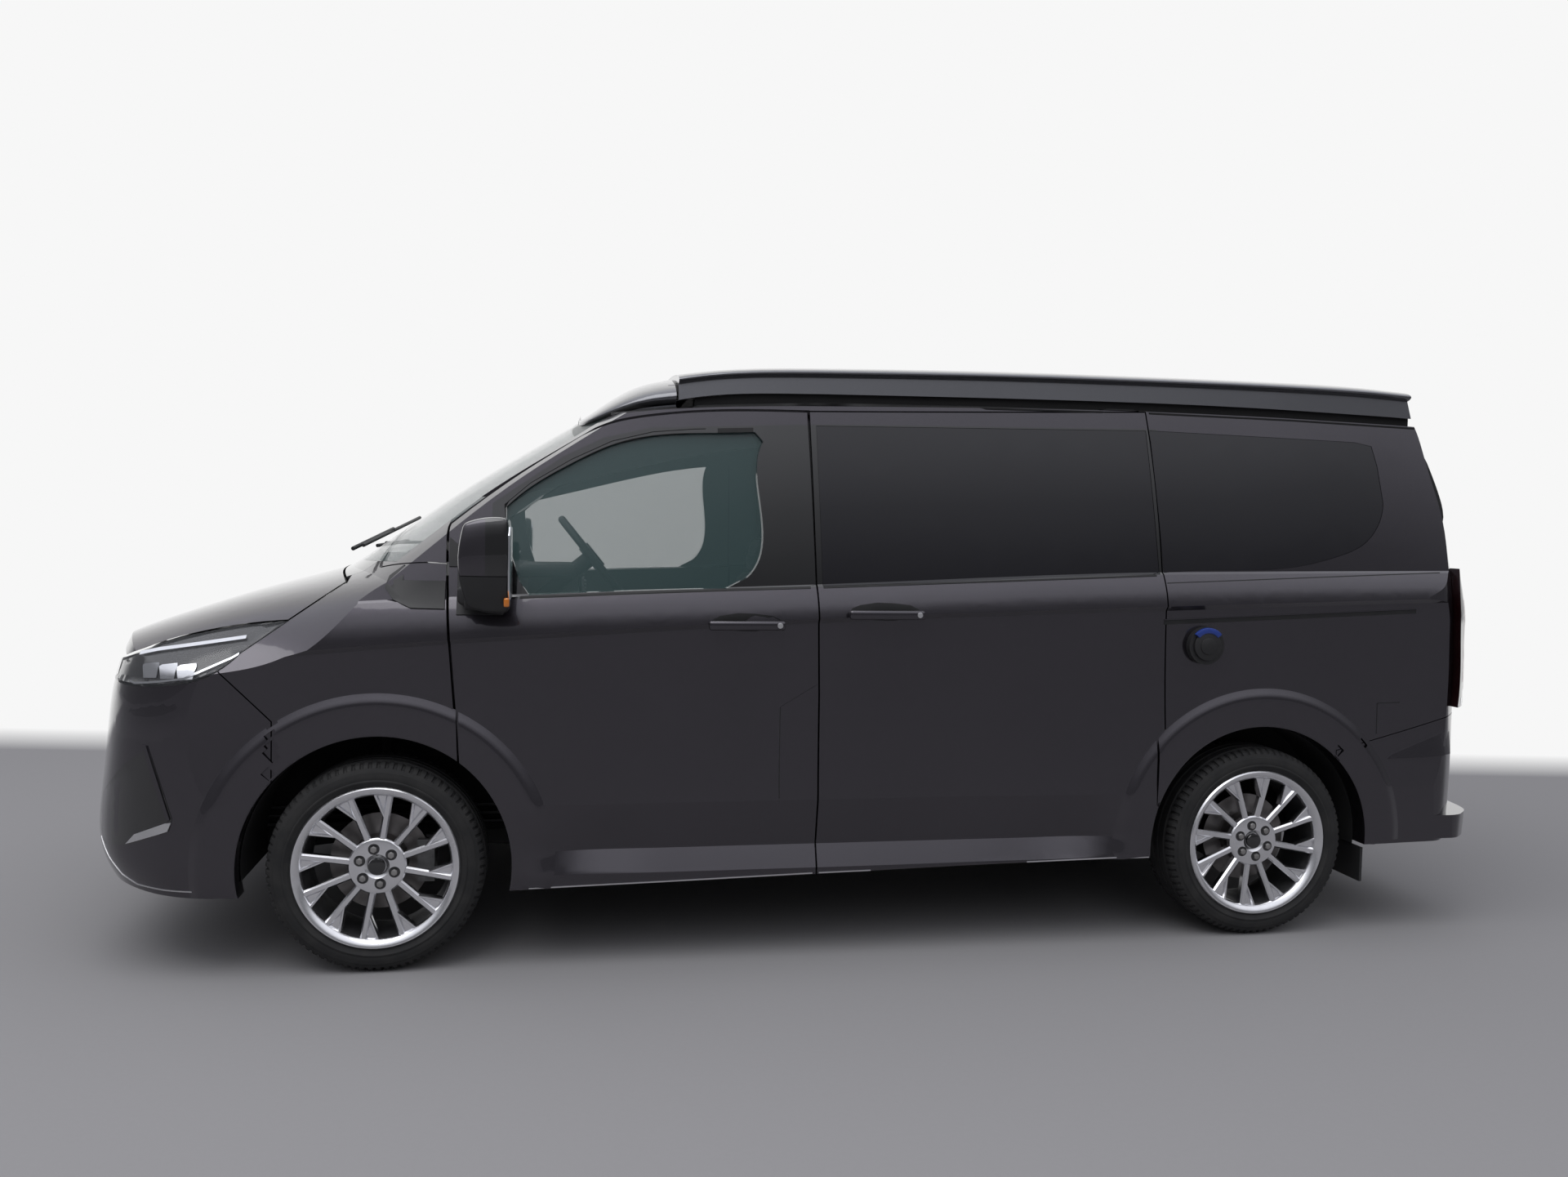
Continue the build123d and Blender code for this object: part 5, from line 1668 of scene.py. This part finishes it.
@dataclass
class Mirrors:
    """Door mirrors: painted cap over a black shell, glass, turn lamp and a foot that blends into black trim."""

    looks: Looks
    trim: Trim
    front: float = -1.283
    rear: float = -1.118
    inner: float = -1.028
    outer: float = -1.247
    low: float = 1.188
    split: float = 1.305
    top: float = 1.487
    above: float = 2.0
    gap: float = 0.0015
    tip: float = -1.285

    def head(self, name: str, look: Look, low: float, high: float) -> bpy.types.Object:
        """Shape the mirror's head and keep what lies between two heights.

        Args:
            name: The piece's name.
            look: Its finish.
            low: The lower height.
            high: The upper height.

        Returns:
            The piece.
        """
        piece = Bench.start(name)
        Bench.block((self.front, self.outer, self.low), (self.rear, self.inner, self.top))
        Bench.whole()
        bpy.ops.mesh.subdivide(number_cuts=1)
        for test, scale, centre in (
            (lambda centre, normal: normal.z < -0.5, (0.80, 0.80, 1.0), (self.rear, self.inner, 0.0)),
            (lambda centre, normal: normal.z > 0.5, (0.86, 0.90, 1.0), (self.rear, self.inner - 0.06, 0.0)),
            (lambda centre, normal: normal.x < -0.5, (1.0, 0.88, 0.88), (0.0, self.inner - 0.10, 1.33)),
        ):
            Bench.squeeze(piece, test, scale, centre)
        Bench.modify(piece, "BEVEL", width=0.020, segments=2, limit_method="ANGLE", angle_limit=math.radians(30.0))
        Bench.modify(piece, "SUBSURF", levels=2, render_levels=2)
        Bench.edit(piece)
        for level, up in ((high, 1.0), (low, -1.0)):
            Bench.whole()
            plane = {"plane_co": (0.0, 0.0, level), "plane_no": (0.0, 0.0, up)}
            bpy.ops.mesh.bisect(**plane, clear_outer=True, use_fill=True)
        return Bench.finish(piece, self.looks[look], 50.0)

    def build(self) -> None:
        """Make the left mirror and copy it to the right."""
        cap = self.head("mirror_cap_left", Look.PAINT, self.split + self.gap, self.above)
        shell = self.head("mirror_shell_left", Look.SATIN, 0.0, self.split - self.gap)
        core = self.head("mirror_core_left", Look.SEAM, self.split - 0.006, self.split + 0.006)
        Bench.edit(core)
        Bench.whole()
        middle = ((self.front + self.rear) / 2, (self.inner + self.outer) / 2, self.split)
        bpy.ops.transform.resize(value=(0.97, 0.97, 1.0), center_override=middle)
        Bench.clear()
        glass = Bench.start("mirror_glass_left")
        Bench.plate(
            [(self.rear - 0.004, y, z) for y, z in (
                (-1.058, 1.232), (-1.2, 1.232), (-1.224, 1.262), (-1.222, 1.43), (-1.196, 1.456),
                (-1.066, 1.456), (-1.05, 1.438), (-1.048, 1.248),
            )],
            (0.006, 0.0, 0.0), 0.0015,
        )
        Bench.finish(glass, self.looks[Look.GLOW])
        lamp = Bench.start("mirror_lamp_left")
        Bench.block((-1.134, -1.2330, 1.212), (-1.117, -1.195, 1.240), 0.005, 3)
        Bench.finish(lamp, self.looks[Look.ORANGE])
        arm = Bench.start("mirror_arm_left")
        Bench.block((self.tip, -1.150, 1.194), (-1.150, -0.952, 1.296), 0.030, 5)
        ahead = self.tip + 0.025
        Bench.squeeze(arm, lambda centre, _: centre.x < ahead, (1.0, 0.62, 0.66), (self.tip, -0.985, 1.222))
        Bench.finish(arm, self.looks[Look.SATIN], 60.0)
        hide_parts("mirror_left")
        for part in (cap, shell, core, glass, lamp, arm):
            twin = Bench.pair(part, "door")
            if part is shell:
                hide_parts("mirror_right")
        sail = ((-1.478, 1.318), (-1.345, 1.42), (-1.3335, 1.424), (-1.3335, 1.188), (-1.44, 1.19),
                (-1.495, 1.215), (-1.524, 1.252), (-1.514, 1.29))
        foot = ((-1.3235, 1.17), (-1.3235, 1.418), (-1.18, 1.3), (-1.135, 1.262), (-1.125, 1.2), (-1.15, 1.172))
        corner = ("body_side", "wing", "front_door", "scuttle_panel")
        self.trim.panel("mirror_sail", sail, 0.0070, Look.SATIN, corner, "body", 0.006)
        self.trim.panel("mirror_foot", foot, 0.0075, Look.SATIN, ("front_door",), "door", 0.006)


# ---------------------------------------------------------------- lamps, nose and tail
@dataclass(frozen=True)
class Ridge:
    """The soft ridge below the headlamp, which fades out above, below and toward its ends."""

    height: float = 0.0135
    sunk: float = 0.0015
    start: float = -2.38
    level: float = 0.765
    slope: float = 0.24
    above: float = 0.085
    below: float = 0.030
    middle: float = -2.27
    half: float = 0.200

    def rise(self, spot: Vector) -> float:
        """Find how high the ridge stands at a place.

        Args:
            spot: The place.

        Returns:
            The height over the skin.
        """
        over = spot.z - (self.level + (spot.x - self.start) * self.slope)
        share = 1.0 - over / self.above if over > 0.0 else 1.0 + over / self.below
        along = 1.0 - abs(spot.x - self.middle) / self.half
        return max(-self.sunk, self.height * max(0.0, share) * max(0.0, along) - self.sunk)


@dataclass
class Ends:
    """Lamps, grille bars, plates and the parts of the nose and the tail."""

    looks: Looks
    skin: Skin
    trim: Trim
    cell: float = 0.03
    pitch: float = 0.03
    fin_top: float = 1.812
    fin_step: float = 0.026
    fin_side: float = 0.738
    fin_width: float = 0.052
    fin_swell: tuple[float, ...] = (
        0.010, 0.024, 0.034, 0.040, 0.045, 0.049, 0.052, 0.054, 0.055, 0.054, 0.050, 0.040, 0.018,
    )
    spoiler_half: float = 0.739

    def shrunk(self, node: str, name: str, look: Look, depth: float) -> None:
        """Fill a clear node with a copy of itself, drawn in by a depth.

        Args:
            node: The clear CAD node.
            name: The new piece's name.
            look: Its finish.
            depth: How far its faces lie inside the node's.
        """
        piece = bpy.data.objects.new(name, self.skin.nodes[node].data.copy())
        bpy.context.scene.collection.objects.link(piece)
        Bench.edit(piece)
        Bench.whole()
        bpy.ops.mesh.remove_doubles(threshold=0.00005)
        bpy.ops.mesh.normals_make_consistent(inside=False)
        bpy.ops.transform.shrink_fatten(value=-depth, use_even_offset=False)
        Bench.fit(piece, self.looks[look], "body", 40.0)

    def bar(
        self, name: str, line: Line, drop: Point, way: float, lift: float, look: Look,
        names: Sequence[str], body: str, thickness: float = 0.004,
    ) -> None:
        """Lay a strip across the nose or the tail.

        Args:
            name: The piece's name.
            line: Corners of one edge as (y, z).
            drop: Step to its other edge.
            way: 1 on the nose and -1 on the tail.
            lift: Height of its face over the skin.
            look: Its finish.
            names: The nodes that it lies on.
            body: The body that it moves with.
            thickness: How thick it is.
        """
        piece = Bench.start(name)
        Bench.thread([(0.0, y, z) for y, z in dense(line, self.cell)])
        Bench.extrude(drop)
        Bench.clear()
        last = None
        for vertex in piece.data.vertices:
            reach = self.skin.end(names, vertex.co.y, vertex.co.z, way)
            last = reach if reach is not None else last
            vertex.co.x = (last or 0.0) - way * lift
        Bench.modify(piece, "SOLIDIFY", thickness=thickness, offset=0.0)
        Bench.fit(piece, self.looks[look], body, 40.0)

    def headlamps(self) -> None:
        """Fit the dark housing, the bright modules, the light strip and the brow behind each clear lens."""
        self.shrunk("headlamps", "headlamp_housing", Look.LAMP_BODY, 0.0095)
        trim, node = self.trim, ("headlamps",)
        for number, x in enumerate((-2.266, -2.205, -2.146)):
            module = ((x, 0.957), (x - 0.006, 0.996), (x + 0.003, 1.002), (x + 0.05, 1.008), (x + 0.053, 0.998),
                      (x + 0.046, 0.96))
            trim.panel(f"headlamp_module_{number}", module, -0.0045, Look.GLOW, node)
        strip = ((-2.318, 0.94), (-2.3, 0.934), (-2.222, 0.944), (-2.128, 0.958), (-1.988, 1.023), (-1.9, 1.08))
        trim.ribbon("headlamp_strip", strip, (0.0, 0.0, 0.0065), -0.0035, Look.GLOW, node, thickness=0.002)
        brow = ((-2.33, 1.018), (-2.23, 1.04), (-2.1, 1.06), (-1.96, 1.082))
        trim.ribbon("headlamp_brow", brow, (0.0, 0.0, 0.01), -0.004, Look.GLOW, node, thickness=0.002)

    def level(
        self, name: str, half: float, low: float, high: float, way: float, lift: float, look: Look, node: str,
        thickness: float = 0.004,
    ) -> None:
        """Lay a level strip across the middle of the nose or, on the tailgate, of the tail.

        Args:
            name: The piece's name.
            half: Half its width.
            low: Height of its lower edge.
            high: Its own height.
            way: 1 on the nose and -1 on the tail.
            lift: Height of its face over the skin.
            look: Its finish.
            node: The node that it lies on.
            thickness: How thick it is.
        """
        body = "body" if way > 0 else "tailgate"
        self.bar(name, ((-half, low), (half, low)), (0.0, 0.0, high), way, lift, look, (node,), body, thickness)

    def nose(self) -> None:
        """Give the nose its grille bars, blank badge, blank plate and shoulder facet."""
        for row in range(7):
            low = 0.69 + self.pitch * row
            self.level(f"grille_bar_{row}", 0.545, low, 0.012, 1.0, 0.007, Look.GLOSS, "grille", 0.008)
        for row in range(4):
            low = 0.39 + self.pitch * row
            self.level(f"lower_grille_bar_{row}", 0.575, low, 0.012, 1.0, 0.006, Look.SATIN, "grille", 0.008)
        badge = Bench.start("blank_badge")
        face = self.skin.end(("grille",), 0.0, 0.79, 1.0) or -2.49
        Bench.tube((face - 0.004, 0.0, 0.79), (face - 0.020, 0.0, 0.79), 0.068, 0.004, 48)
        Bench.fit(badge, self.looks[Look.SILVER])
        self.level("front_plate", 0.26, 0.535, 0.11, 1.0, 0.006, Look.PLATE, "front_bumper")
        self.level("front_plate_frame", 0.268, 0.527, 0.126, 1.0, 0.003, Look.SATIN, "front_bumper")
        shoulder = ((-2.44, 0.7), (-2.44, 0.865), (-2.1, 0.925), (-2.06, 0.85), (-2.06, 0.78))
        self.trim.panel("nose_shoulder", shoulder, 0.0, Look.PAINT, ("front_bumper",), thickness=0.002,
                        rise=Ridge().rise)

    def tail_lamps(self) -> None:
        """Dress the tail lamps with pale light guides and a small lower lamp."""
        trim, node = self.trim, ("tail_lamps",)
        trim.ribbon("tail_guide", ((2.404, 0.900), (2.408, 1.080), (2.403, 1.270)), (0.012, 0.0, 0.0), 0.0008,
                    Look.PINK, node, thickness=0.001)
        trim.ribbon("tail_guide_inner", ((2.380, 0.930), (2.382, 1.080), (2.379, 1.240)), (0.004, 0.0, 0.0), 0.0008,
                    Look.PINK, node, thickness=0.001)
        trim.panel("tail_foot", ((2.372, 0.848), (2.372, 0.872), (2.425, 0.872), (2.425, 0.848)), 0.0010,
                   Look.GLOW, node, thickness=0.001)

    def fin(self) -> None:
        """Raise a gloss fin each side of the rear window, with a spoiler and a high brake lamp between."""
        near, far = [], []
        for step, out in enumerate(self.fin_swell):
            level = self.fin_top - self.fin_step * step
            face = self.skin.end(("tailgate", "tailgate_glass"), -self.fin_side, level, -1.0) or 2.35
            near.append((face - 0.004, -self.fin_side, level))
            far.append((face + out, -self.fin_side, level))
        piece = Bench.start("rear_fin_left")
        Bench.plate([*far, *reversed(near)], (0.0, -self.fin_width, 0.0), 0.008, 3)
        Bench.finish(piece, self.looks[Look.GLOSS], 40.0)
        Bench.pair(piece, "tailgate")
        spoiler = Bench.start("rear_spoiler")
        top = far[0][0]
        section = ((-0.095, 1.826), (-0.010, 1.822), (0.022, 1.800), (0.020, 1.786), (-0.030, 1.790))
        outline = [(top + out, -self.spoiler_half, level) for out, level in section]
        Bench.plate(outline, (0.0, 2 * self.spoiler_half, 0.0), 0.003, 2)
        Bench.fit(spoiler, self.looks[Look.PAINT], "tailgate", 40.0)
        lamp = Bench.start("high_brake_lamp")
        Bench.block((top + 0.006, -0.160, 1.786), (top + 0.0265, 0.160, 1.800), 0.004, 2)
        Bench.fit(lamp, self.looks[Look.RED], "tailgate")

    def tail(self) -> None:
        """Give the tail its plate, handle, a dark strip that paints the shade of its crease, reflectors, wiper and
        bumper lines.
        """
        for row in (
            ("rear_plate", 0.26, 0.905, 0.11, -1.0, 0.006, Look.PLATE, "tailgate"),
            ("rear_plate_frame", 0.268, 0.897, 0.126, -1.0, 0.003, Look.SATIN, "tailgate"),
            ("tailgate_handle", 0.33, 1.05, 0.055, -1.0, 0.009, Look.GLOSS, "tailgate", 0.014),
            # painted shade: a dark strip across the tailgate stands in for the shade of its crease
            ("tailgate_crease", 0.8, 1.235, 0.006, -1.0, 0.001, Look.SEAM, "tailgate", 0.002),
        ):
            self.level(*row)
        for hand, side in (("left", -1.0), ("right", 1.0)):
            line = ((side * 0.52, 0.56), (side * 0.72, 0.56))
            self.bar(f"rear_reflector_{hand}", line, (0.0, 0.0, 0.03), -1.0, 0.003, Look.RED, ("rear_bumper",),
                     "body", 0.005)
        wiper = Bench.start("rear_wiper")
        base = self.skin.end(("tailgate_glass", "tailgate"), 0.0, 1.372, -1.0) or 2.41
        tip = self.skin.end(("tailgate_glass", "tailgate"), -0.42, 1.420, -1.0) or 2.39
        Bench.tube((base, 0.0, 1.372), (base + 0.030, 0.0, 1.372), 0.024, 0.004)
        Bench.tube((base + 0.022, 0.0, 1.372), (tip + 0.016, -0.42, 1.420), 0.0075, 0.001, 12)
        Bench.tube((base + 0.010, 0.02, 1.402), (tip + 0.007, -0.44, 1.436), 0.0060, 0.001, 10)
        Bench.fit(wiper, self.looks[Look.SATIN], "tailgate")
        trim, names = self.trim, ("rear_bumper", "body_side")
        upright, top = ((2.018, 0.742), (2.018, 0.854)), ((2.018, 0.854), (2.113, 0.856))
        trim.ribbon("corner_notch", upright, (0.003, 0.0, 0.0), 0.0008, Look.SEAM, names, thickness=0.001)
        trim.ribbon("corner_notch_top", top, (0.0, 0.0, 0.003), 0.0008, Look.SEAM, names, thickness=0.001)
        wedge = ((2.070, 0.648), (2.090, 0.664), (2.300, 0.742), (2.345, 0.742), (2.345, 0.660), (2.200, 0.652))
        trim.panel("bumper_facet", wedge, 0.0005, Look.PAINT, ("rear_bumper",), thickness=0.002,
                   rise=lambda spot: max(0.0, 0.675 + (spot.x - 2.10) * 0.33 - spot.z) * 0.12)

    def build(self) -> None:
        """Make every part of the two ends."""
        self.headlamps()
        self.nose()
        self.tail_lamps()
        self.fin()
        self.tail()
        log.info("nose and tail")


# ---------------------------------------------------------------- roof, screen and inlet
@dataclass
class Details:
    """Wipers, the lid of the power inlet, and the roof's bracket and gasket."""

    looks: Looks
    skin: Skin
    trim: Trim
    inlet_place: Point = (1.307, -1.0135, 1.072)

    def wipers(self) -> None:
        """Park two wipers along the foot of the windscreen."""
        screen = self.skin.nodes["windscreen"]
        down = Vector((0.0, 0.0, -1.0))
        places = (((-1.640, -0.62), (-1.520, 0.02)), ((-1.660, 0.10), (-1.560, 0.66)))
        for number, place in enumerate(places):
            piece = Bench.start(f"wiper_{number}")
            ends = []
            for x, y in place:
                hit, spot, _, _ = screen.ray_cast(Vector((x, y, 3.0)), down)
                ends.append(spot + Vector((-0.006, 0.0, 0.016)) if hit else Vector((x, y, 1.38)))
            start, stop = ends
            Bench.tube(tuple(start), tuple(stop), 0.0065, 0.001, 10)
            arm = start + Vector((-0.035, 0.0, -0.012)), (start + stop) / 2 + Vector((0.0, 0.0, 0.006))
            Bench.tube(tuple(arm[0]), tuple(arm[1]), 0.0075, 0.002, 12)
            Bench.fit(piece, self.looks[Look.SATIN])

    def inlet(self) -> None:
        """Fit a small blue lid over the power inlet, with a raised rim round it."""
        piece = Bench.start("inlet_lid")
        x, y, z = self.inlet_place
        Bench.tube((x, y, z), (x, y - 0.010, z), 0.052, 0.004, 40)
        Bench.tube((x, y - 0.009, z), (x, y - 0.014, z), 0.030, 0.003, 32)
        Bench.fit(piece, self.looks[Look.SATIN])
        hood = Bench.start("inlet_hood")
        outline = [
            (x + radius * math.sin(turn), -1.0140, z + radius * math.cos(turn))
            for radius, turns in ((0.066, range(-50, 51, 10)), (0.046, range(50, -51, -10)))
            for turn in (math.radians(degrees) for degrees in turns)
        ]
        Bench.plate(outline, (0.0, -0.012, 0.0), 0.003, 2)
        Bench.fit(hood, self.looks[Look.BLUE])

    def build(self) -> None:
        """Make every small part."""
        self.wipers()
        self.inlet()
        bracket = ((-0.602, 1.958), (-0.602, 1.992), (-0.58, 1.996), (-0.58, 1.96))
        self.trim.panel("roof_bracket", bracket, 0.004, Look.SILVER, ("roof_fairing",), thickness=0.004)
        gutter = ((-0.8, 1.846), (-0.524, 1.874), (-0.092, 1.896), (0.5, 1.904), (1.138, 1.908), (1.7, 1.901),
                  (2.23, 1.888))
        edge = ("roof_panel", "roof_fairing", "body_side", "roof_seal")
        self.trim.ribbon("roof_gasket", gutter, (0.0, 0.0, 0.01), 0.004, Look.SEAM, edge, thickness=0.006)


# ---------------------------------------------------------------- cabin
@dataclass(frozen=True)
class Pad:
    """One padded piece in its own frame: thickness, width and height or depth, with its sewn seams.

    Attributes:
        name: The piece's name.
        size: Its size along its own axes before it swells.
        centre: Where its middle goes.
        lean: How far it leans back, in radians.
        face: The axis that its sewn face looks along, 0 for a back and 2 for a seat.
        seams: Seams as (axis, place) in its own frame.
        fill: How tight it is.
    """

    name: str
    size: Point
    centre: Point
    lean: float
    face: int
    seams: tuple[tuple[int, float], ...]
    fill: float = 0.8


@dataclass
class Cabin:
    """Padded seats and bench with their bases, and what is fixed to the dashboard."""

    looks: Looks
    voxel: float = 0.012
    pressure: float = 4.0
    frames: int = 16
    swell: float = 0.014
    seam_depth: float = 0.007
    seam_width: float = 0.007
    crown: float = 0.010
    roundness: float = 0.55
    seat_y: float = 0.400
    seat_pads: tuple[Pad, ...] = (
        Pad("seat_cushion", (0.500, 0.464, 0.124), (-0.445, 0.0, 0.618), 0.0, 2,
            ((1, -0.150), (1, 0.150), (0, -0.060), (0, 0.110)), 0.75),
        Pad("seat_back", (0.106, 0.444, 0.596), (-0.175, 0.0, 0.970), math.radians(14.0), 0,
            ((1, -0.145), (1, 0.145), (2, -0.100), (2, 0.060), (2, 0.190)), 0.75),
        Pad("headrest", (0.074, 0.232, 0.152), (-0.093, 0.0, 1.335), math.radians(14.0), 0, ((2, 0.0),), 0.85),
    )
    bench_pads: tuple[Pad, ...] = (
        Pad("bench_cushion", (0.530, 1.090, 0.126), (1.580, 0.0, 0.618), 0.0, 2,
            ((1, -0.185), (1, 0.185), (0, -0.050), (0, 0.120)), 0.75),
        Pad("bench_back", (0.116, 1.090, 0.612), (1.885, 0.0, 0.970), math.radians(12.0), 0,
            ((1, -0.185), (1, 0.185), (2, -0.100), (2, 0.080)), 0.75),
    )

    def puff(self, piece: bpy.types.Object) -> None:
        """Blow a pad up from inside and keep each point near where it was.

        Args:
            piece: The piece.
        """
        Bench.modify(piece, "REMESH", mode="VOXEL", voxel_size=self.voxel)
        before = [vertex.co.copy() for vertex in piece.data.vertices]
        Bench.hold(piece)
        bpy.ops.object.modifier_add(type="CLOTH")
        cloth = piece.modifiers[-1]
        cloth.settings.use_pressure = True
        cloth.settings.uniform_pressure_force = self.pressure
        cloth.settings.effector_weights.gravity = 0.0
        cloth.point_cache.frame_end = self.frames
        for frame in range(1, self.frames + 1):
            bpy.context.scene.frame_set(frame)
        bpy.ops.object.modifier_apply(modifier=cloth.name)
        bpy.context.scene.frame_set(1)
        for vertex, start in zip(piece.data.vertices, before):
            move = vertex.co - start
            if move.length > self.swell:
                vertex.co = start + move * (self.swell / move.length)

    def sew(self, piece: bpy.types.Object, pad: Pad) -> None:
        """Draw the pad in along its seams and crown it between them.

        Args:
            piece: The piece.
            pad: What it is made from.
        """
        half = [part / 2 for part in pad.size]
        way = 1.0 if pad.face == 2 else -1.0
        others = [axis for axis in range(3) if axis != pad.face]
        Bench.modify(piece, "SUBSURF", levels=1, render_levels=1)
        for vertex in piece.data.vertices:
            spot = vertex.co
            if spot[pad.face] * way / half[pad.face] < 0.2:
                continue
            pull = max(math.exp(-(((spot[axis] - place) / self.seam_width) ** 2)) for axis, place in pad.seams)
            crown = 1.0
            for axis in others:
                crown *= max(0.0, 1.0 - (spot[axis] / half[axis]) ** 2)
            spot[pad.face] += way * (crown * self.crown - pull * self.seam_depth)

    def pad(self, pad: Pad, shift: float = 0.0, name: str = "") -> bpy.types.Object:
        """Make one pad.

        Args:
            pad: What to make.
            shift: How far it is moved across the van.
            name: Its name, where that isn't the pad's own.

        Returns:
            The piece.
        """
        piece = Bench.start(name or pad.name)
        half = [part / 2 for part in pad.size]
        Bench.block([-part for part in half], half, min(half) * self.roundness, 4)
        Bench.clear()
        self.puff(piece)
        self.sew(piece, pad)
        place = Matrix.Translation(Vector(pad.centre) + Vector((0.0, shift, 0.0)))
        piece.data.transform(place @ Matrix.Rotation(pad.lean, 4, "Y"))
        Bench.fit(piece, self.looks[Look.CLOTH], "body", 60.0)
        return piece

    def seats(self) -> None:
        """Make one front seat, copy it to the other side and stand both on their bases."""
        made = [self.pad(pad, -self.seat_y, f"{pad.name}_left") for pad in self.seat_pads]
        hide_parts("front_seats")
        for piece in made:
            twin = Bench.copy(piece, piece.name.replace("_left", "_right"), step=(0.0, 2 * self.seat_y, 0.0))
            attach(twin, "body")
        base = Bench.start("seat_base_left")
        Bench.block((-0.640, -0.595, 0.3605), (-0.220, -0.205, 0.545), 0.020, 3)
        Bench.squeeze(base, lambda centre, normal: normal.z > 0.5, (1.06, 1.08, 1.0), (-0.43, -0.40, 0.45))
        for y in (-0.560, -0.240):
            Bench.block((-0.680, y - 0.016, 0.540), (-0.200, y + 0.016, 0.556), 0.003, 2)
        Bench.block((-0.225, -0.600, 0.560), (-0.150, -0.560, 0.650), 0.012, 3)
        Bench.finish(base, self.looks[Look.INTERIOR])
        posts = Bench.start("headrest_posts_left")
        for y in (-0.460, -0.340):
            Bench.tube((-0.118, y, 1.215), (-0.096, y, 1.300), 0.006, 0.001, 16)
        Bench.finish(posts, self.looks[Look.STEEL])
        for piece in (base, posts):
            Bench.pair(piece)

    def bench(self) -> None:
        """Make the rear bench on its box."""
        made = [self.pad(pad) for pad in self.bench_pads]
        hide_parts("rear_bench")
        box = Bench.start("bench_box")
        Bench.block((1.320, -0.548, 0.3605), (1.850, 0.548, 0.550), 0.014, 3)
        Bench.pick(box, lambda centre, normal: normal.x < -0.5)
        bpy.ops.mesh.inset(thickness=0.030, depth=-0.006)
        Bench.fit(box, self.looks[Look.INTERIOR])

    def dash(self) -> None:
        """Give the dashboard its instrument hood, screen and vents."""
        hood = Bench.start("instrument_hood")
        Bench.block((-1.120, -0.575, 1.270), (-0.905, -0.225, 1.318), 0.020, 4)
        Bench.pick(hood, lambda centre, normal: normal.x > 0.5)
        bpy.ops.mesh.inset(thickness=0.006, depth=-0.020)
        Bench.fit(hood, self.looks[Look.INTERIOR])
        screen = Bench.start("dash_screen")
        Bench.block((-0.900, -0.150, 1.120), (-0.882, 0.150, 1.300), 0.006, 3)
        Bench.fit(screen, self.looks[Look.GLOSS])
        vents = Bench.start("dash_vents")
        for y in (-0.700, -0.185, 0.185, 0.700):
            for row in range(5):
                level = 1.215 + row * 0.013
                Bench.block((-0.893, y - 0.050, level), (-0.879, y + 0.050, level + 0.005), 0.001, 1)
            Bench.block((-0.893, y - 0.060, 1.205), (-0.886, y + 0.060, 1.280), 0.003, 2)
        Bench.fit(vents, self.looks[Look.SWITCH])

    def build(self) -> None:
        """Make the seats, the bench and the dashboard's parts."""
        self.seats()
        self.bench()
        self.dash()
        log.info("cabin")


def main() -> None:
    """Build the looks round the frame, piece by piece."""
    logging.basicConfig(level=logging.INFO, format="%(name)s: %(message)s")
    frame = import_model()
    stance = Stance.read(frame["joints"])
    looks = finishes()
    Studio().build()
    dress_nodes(frame["nodes"], looks)
    skin = Skin(frame["nodes"])
    Wheels(looks, stance).build()
    Arches(looks, skin, stance).build()
    trim = Trim(looks, skin)
    SideTrim(trim).build()
    Handles(looks, skin, trim).build()
    Mirrors(looks, trim).build()
    Ends(looks, skin, trim).build()
    Details(looks, skin, trim).build()
    Cabin(looks).build()


if __name__ == "__main__":
    main()
